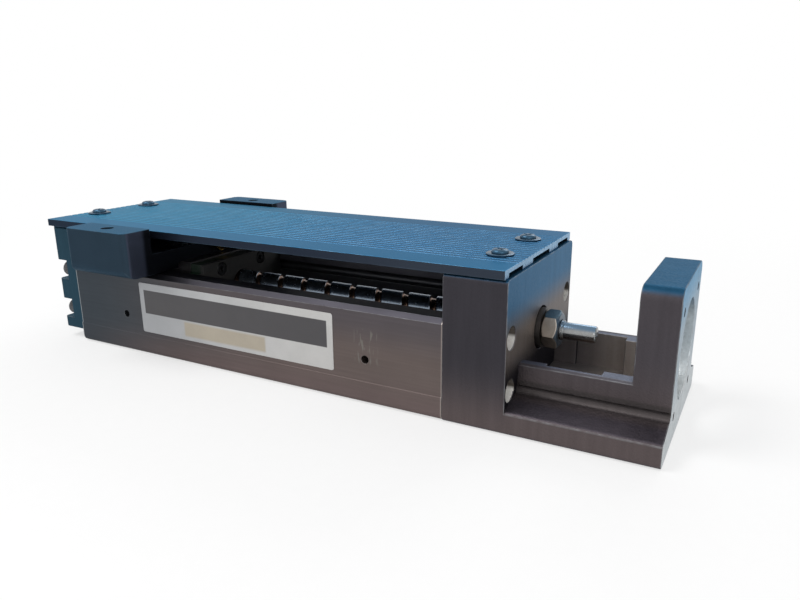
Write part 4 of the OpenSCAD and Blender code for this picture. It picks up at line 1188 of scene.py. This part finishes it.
class LinearModuleBearings(bpy.types.Operator):
    """Finishes the bearings, their retainer, rings and collar, and the rubber stops"""
    bl_idname = "linear_module.bearings"
    bl_label = "Bearings and Stops"

    def execute(self, context):
        ground = machined_steel("ground_retainer_steel", "#9da0a3", "#77726a", 0.34,
                                (1, 1, 0.1), 0.9)
        plate = broken_edges("bearing_retainer", "retainer_plate", sizes().machined_edge)
        dress(plate, ground, "retainer_steel", "base", "bearing_retainer")
        rings = machined_steel("hardened_ring_steel", "#c4c7ca", "#96948f", 0.2,
                               (1, 0.2, 0.2), 0.9)
        finish_nodes(rings, "front_bearing_outer_rings", "front_bearing_inner_rings",
                     "end_bearing_outer_ring", "end_bearing_inner_ring")
        finish_nodes(polished_ball_steel(), "front_bearing_balls", "end_bearing_balls",
                     "track_balls_near", "track_balls_far", "nut_balls")
        dark = machined_steel("phosphated_steel", "#4b4846", "#35302c", 0.42, (1, 0.2, 0.2), 0.8)
        finish_nodes(dark, "bearing_collar", "end_retaining_ring")
        finish_nodes(moulded_rubber("stop_rubber", "#1d1d1e"), "rear_damper", "front_damper")
        return {"FINISHED"}


class LinearModuleCarriage(bpy.types.Operator):
    """Finishes the carriage: its block, end plates, seals, return tube, clamp and nipple"""
    bl_idname = "linear_module.carriage"
    bl_label = "Carriage"

    def execute(self, context):
        block = machined_steel("ground_block_steel", "#56565a", "#4a4542", 0.36, (0.05, 1, 1), 0.9)
        finish_nodes(block, "inner_block")
        finish_nodes(moulded_resin(), "rear_end_plate", "front_end_plate")
        finish_nodes(moulded_rubber("seal_rubber", "#232323"), "rear_seal", "front_seal")
        drawn = machined_steel("drawn_tube_steel", "#b3b6ba", "#8a8780", 0.25, (1, 0.1, 1), 0.9)
        finish_nodes(drawn, "return_tube")
        pressed = machined_steel("pressed_clamp_steel", "#8b8e91", "#6a655d", 0.36,
                                 (0.1, 1, 1), 0.9)
        finish_nodes(pressed, "tube_clamp")
        screws = machined_steel("black_screw_steel", "#38393c", "#24221e", 0.34)
        finish_nodes(screws, "tube_clamp_screws", "sub_table_screws")
        finish_nodes(turned_brass(), "grease_nipple")
        return {"FINISHED"}


# ---------- the stage ----------

def look(location, target, roll=0.0):
    """World matrix of a lamp or camera at a place, looking at a target."""
    back = (Vector(location) - Vector(target)).normalized()
    right = Vector((0, 0, 1)).cross(back).normalized()
    up = back.cross(right)
    turn = Matrix((right, up, back)).transposed().to_4x4()
    return Matrix.Translation(location) @ turn @ Matrix.Rotation(math.radians(roll), 4, "Z")


def soft_lamp(name, location, target, wide, tall, watts):
    data = bpy.data.lights.new(name, "AREA")
    data.shape = "RECTANGLE"
    data.size, data.size_y = wide, tall
    data.energy = watts
    lamp = bpy.data.objects.new(name, data)
    lamp.matrix_world = look(location, target)
    bpy.context.scene.collection.objects.link(lamp)


def direct_rays(tree):
    """1 for rays straight from the camera or by way of a mirror or glass, and otherwise 0."""
    path = add(tree, "ShaderNodeLightPath")
    mirrored = add(tree, "ShaderNodeMath", {
        0: path.outputs["Is Camera Ray"], 1: path.outputs["Is Glossy Ray"]},
        operation="MAXIMUM")
    return add(tree, "ShaderNodeMath", {
        0: mirrored.outputs[0], 1: path.outputs["Is Transmission Ray"]},
        operation="MAXIMUM").outputs[0]


def studio_floor():
    """Matt white paper: it keeps the soft shadow near the object and fades into the white
    surroundings further off."""
    material, tree = start_finish("white_studio_paper")
    grain = uneven(tree, 4, 0.985, 1.0)
    paper = add(tree, "ShaderNodeBsdfPrincipled", {
        "Base Color": painted(tree, "#f4f4f4", (), (grain,)), "Roughness": 0.9})
    place = add(tree, "ShaderNodeTexCoord")
    away = add(tree, "ShaderNodeVectorMath", {0: place.outputs["Object"]}, operation="LENGTH")
    fade = add(tree, "ShaderNodeMapRange", {
        0: away.outputs["Value"], 1: 0.14, 2: 0.4, 3: 0.6, 4: 1.0},
        interpolation_type="SMOOTHSTEP")
    seen = add(tree, "ShaderNodeMath", {
        0: direct_rays(tree), 1: fade.outputs[0]}, operation="MULTIPLY")
    white = add(tree, "ShaderNodeEmission", {"Color": (1, 1, 1, 1), "Strength": 1.0})
    both = add(tree, "ShaderNodeMixShader", {
        0: seen.outputs[0], 1: paper.outputs[0], 2: white.outputs[0]})
    add(tree, "ShaderNodeOutputMaterial", {"Surface": both.outputs[0]})
    return material


class LinearModuleStage(bpy.types.Operator):
    """Lays the white floor and sets the lamps, the surroundings and the camera"""
    bl_idname = "linear_module.stage"
    bl_label = "Stage"

    def execute(self, context):
        scene = context.scene
        scene.view_settings.view_transform = "Standard"
        mesh = bpy.data.meshes.new("floor")
        shape = bmesh.new()
        bmesh.ops.create_grid(shape, x_segments=8, y_segments=8, size=3)
        shape.to_mesh(mesh)
        shape.free()
        mesh.transform(Matrix.Translation((0, 0, CAD_BOX[0][2] - 0.02 * MM)))
        floor = object_of(mesh, "studio_floor")
        mesh.materials.append(studio_floor())

        world = bpy.data.worlds.new("white_surroundings")
        scene.world = world
        world.use_nodes = True
        tree = world.node_tree
        tree.nodes.clear()
        strength = add(tree, "ShaderNodeMapRange", {
            0: direct_rays(tree), 1: 0.0, 2: 1.0, 3: 0.62, 4: 1.0})
        light = add(tree, "ShaderNodeBackground", {
            "Color": (1, 1, 1, 1), "Strength": strength.outputs[0]})
        add(tree, "ShaderNodeOutputWorld", {"Surface": light.outputs[0]})

        middle = (0, 0, 0.02)
        soft_lamp("key_lamp", (-0.35, -0.25, 0.75), middle, 0.4, 0.4, 3.2)
        soft_lamp("side_lamp", (0.55, -0.55, 0.35), middle, 0.3, 0.3, 1.2)
        soft_lamp("back_lamp", (0.1, 0.7, 0.5), middle, 0.4, 0.2, 1.2)

        data = bpy.data.cameras.new("front_camera")
        data.sensor_width = 36
        data.lens = 31.212
        data.shift_x, data.shift_y = -0.00635, -0.0005
        data.clip_start, data.clip_end = 0.01, 20
        camera = bpy.data.objects.new("front_camera", data)
        scene.collection.objects.link(camera)
        azimuth, elevation = math.radians(28.401), math.radians(16.117)
        back = Vector((math.sin(azimuth) * math.cos(elevation),
                       -math.cos(azimuth) * math.cos(elevation), math.sin(elevation)))
        spot = Vector((127.314, -191.53, 87.292)) * MM
        camera.matrix_world = look(spot, spot - back, -0.34)
        scene.camera = camera
        return {"FINISHED"}


# ---------- panel, registration and main ----------

OPERATORS = (
    LinearModuleStage, LinearModuleGuideRail, LinearModuleHousings, LinearModuleCover,
    LinearModuleTable, LinearModuleNamePlate, LinearModuleBallScrew, LinearModuleLockNut,
    LinearModuleScrews, LinearModuleBearings, LinearModuleCarriage)


class LinearModulePanel(bpy.types.Panel):
    """Lists the steps that dress the module, in order"""
    bl_idname = "VIEW3D_PT_linear_module"
    bl_label = "Linear Module"
    bl_space_type = "VIEW_3D"
    bl_region_type = "UI"
    bl_category = "Linear Module"

    def draw(self, context):
        for group in (context.scene.linear_module_sizes, context.scene.linear_module_colours):
            for name in group.bl_rna.properties.keys():
                if name not in ("rna_type", "name"):
                    self.layout.prop(group, name)
        for step in OPERATORS:
            self.layout.operator(step.bl_idname)


CLASSES = (LinearModuleSizes, LinearModuleColours, *OPERATORS, LinearModulePanel)


def register():
    for item in CLASSES:
        bpy.utils.register_class(item)
    bpy.types.Scene.linear_module_sizes = bpy.props.PointerProperty(type=LinearModuleSizes)
    bpy.types.Scene.linear_module_colours = bpy.props.PointerProperty(type=LinearModuleColours)


def unregister():
    del bpy.types.Scene.linear_module_colours
    del bpy.types.Scene.linear_module_sizes
    for item in reversed(CLASSES):
        bpy.utils.unregister_class(item)


def main():
    register()
    for step in OPERATORS:
        group, name = step.bl_idname.split(".")
        if getattr(getattr(bpy.ops, group), name)() != {"FINISHED"}:
            raise RuntimeError(step.bl_label + " didn't finish")


if __name__ == "__main__":
    main()
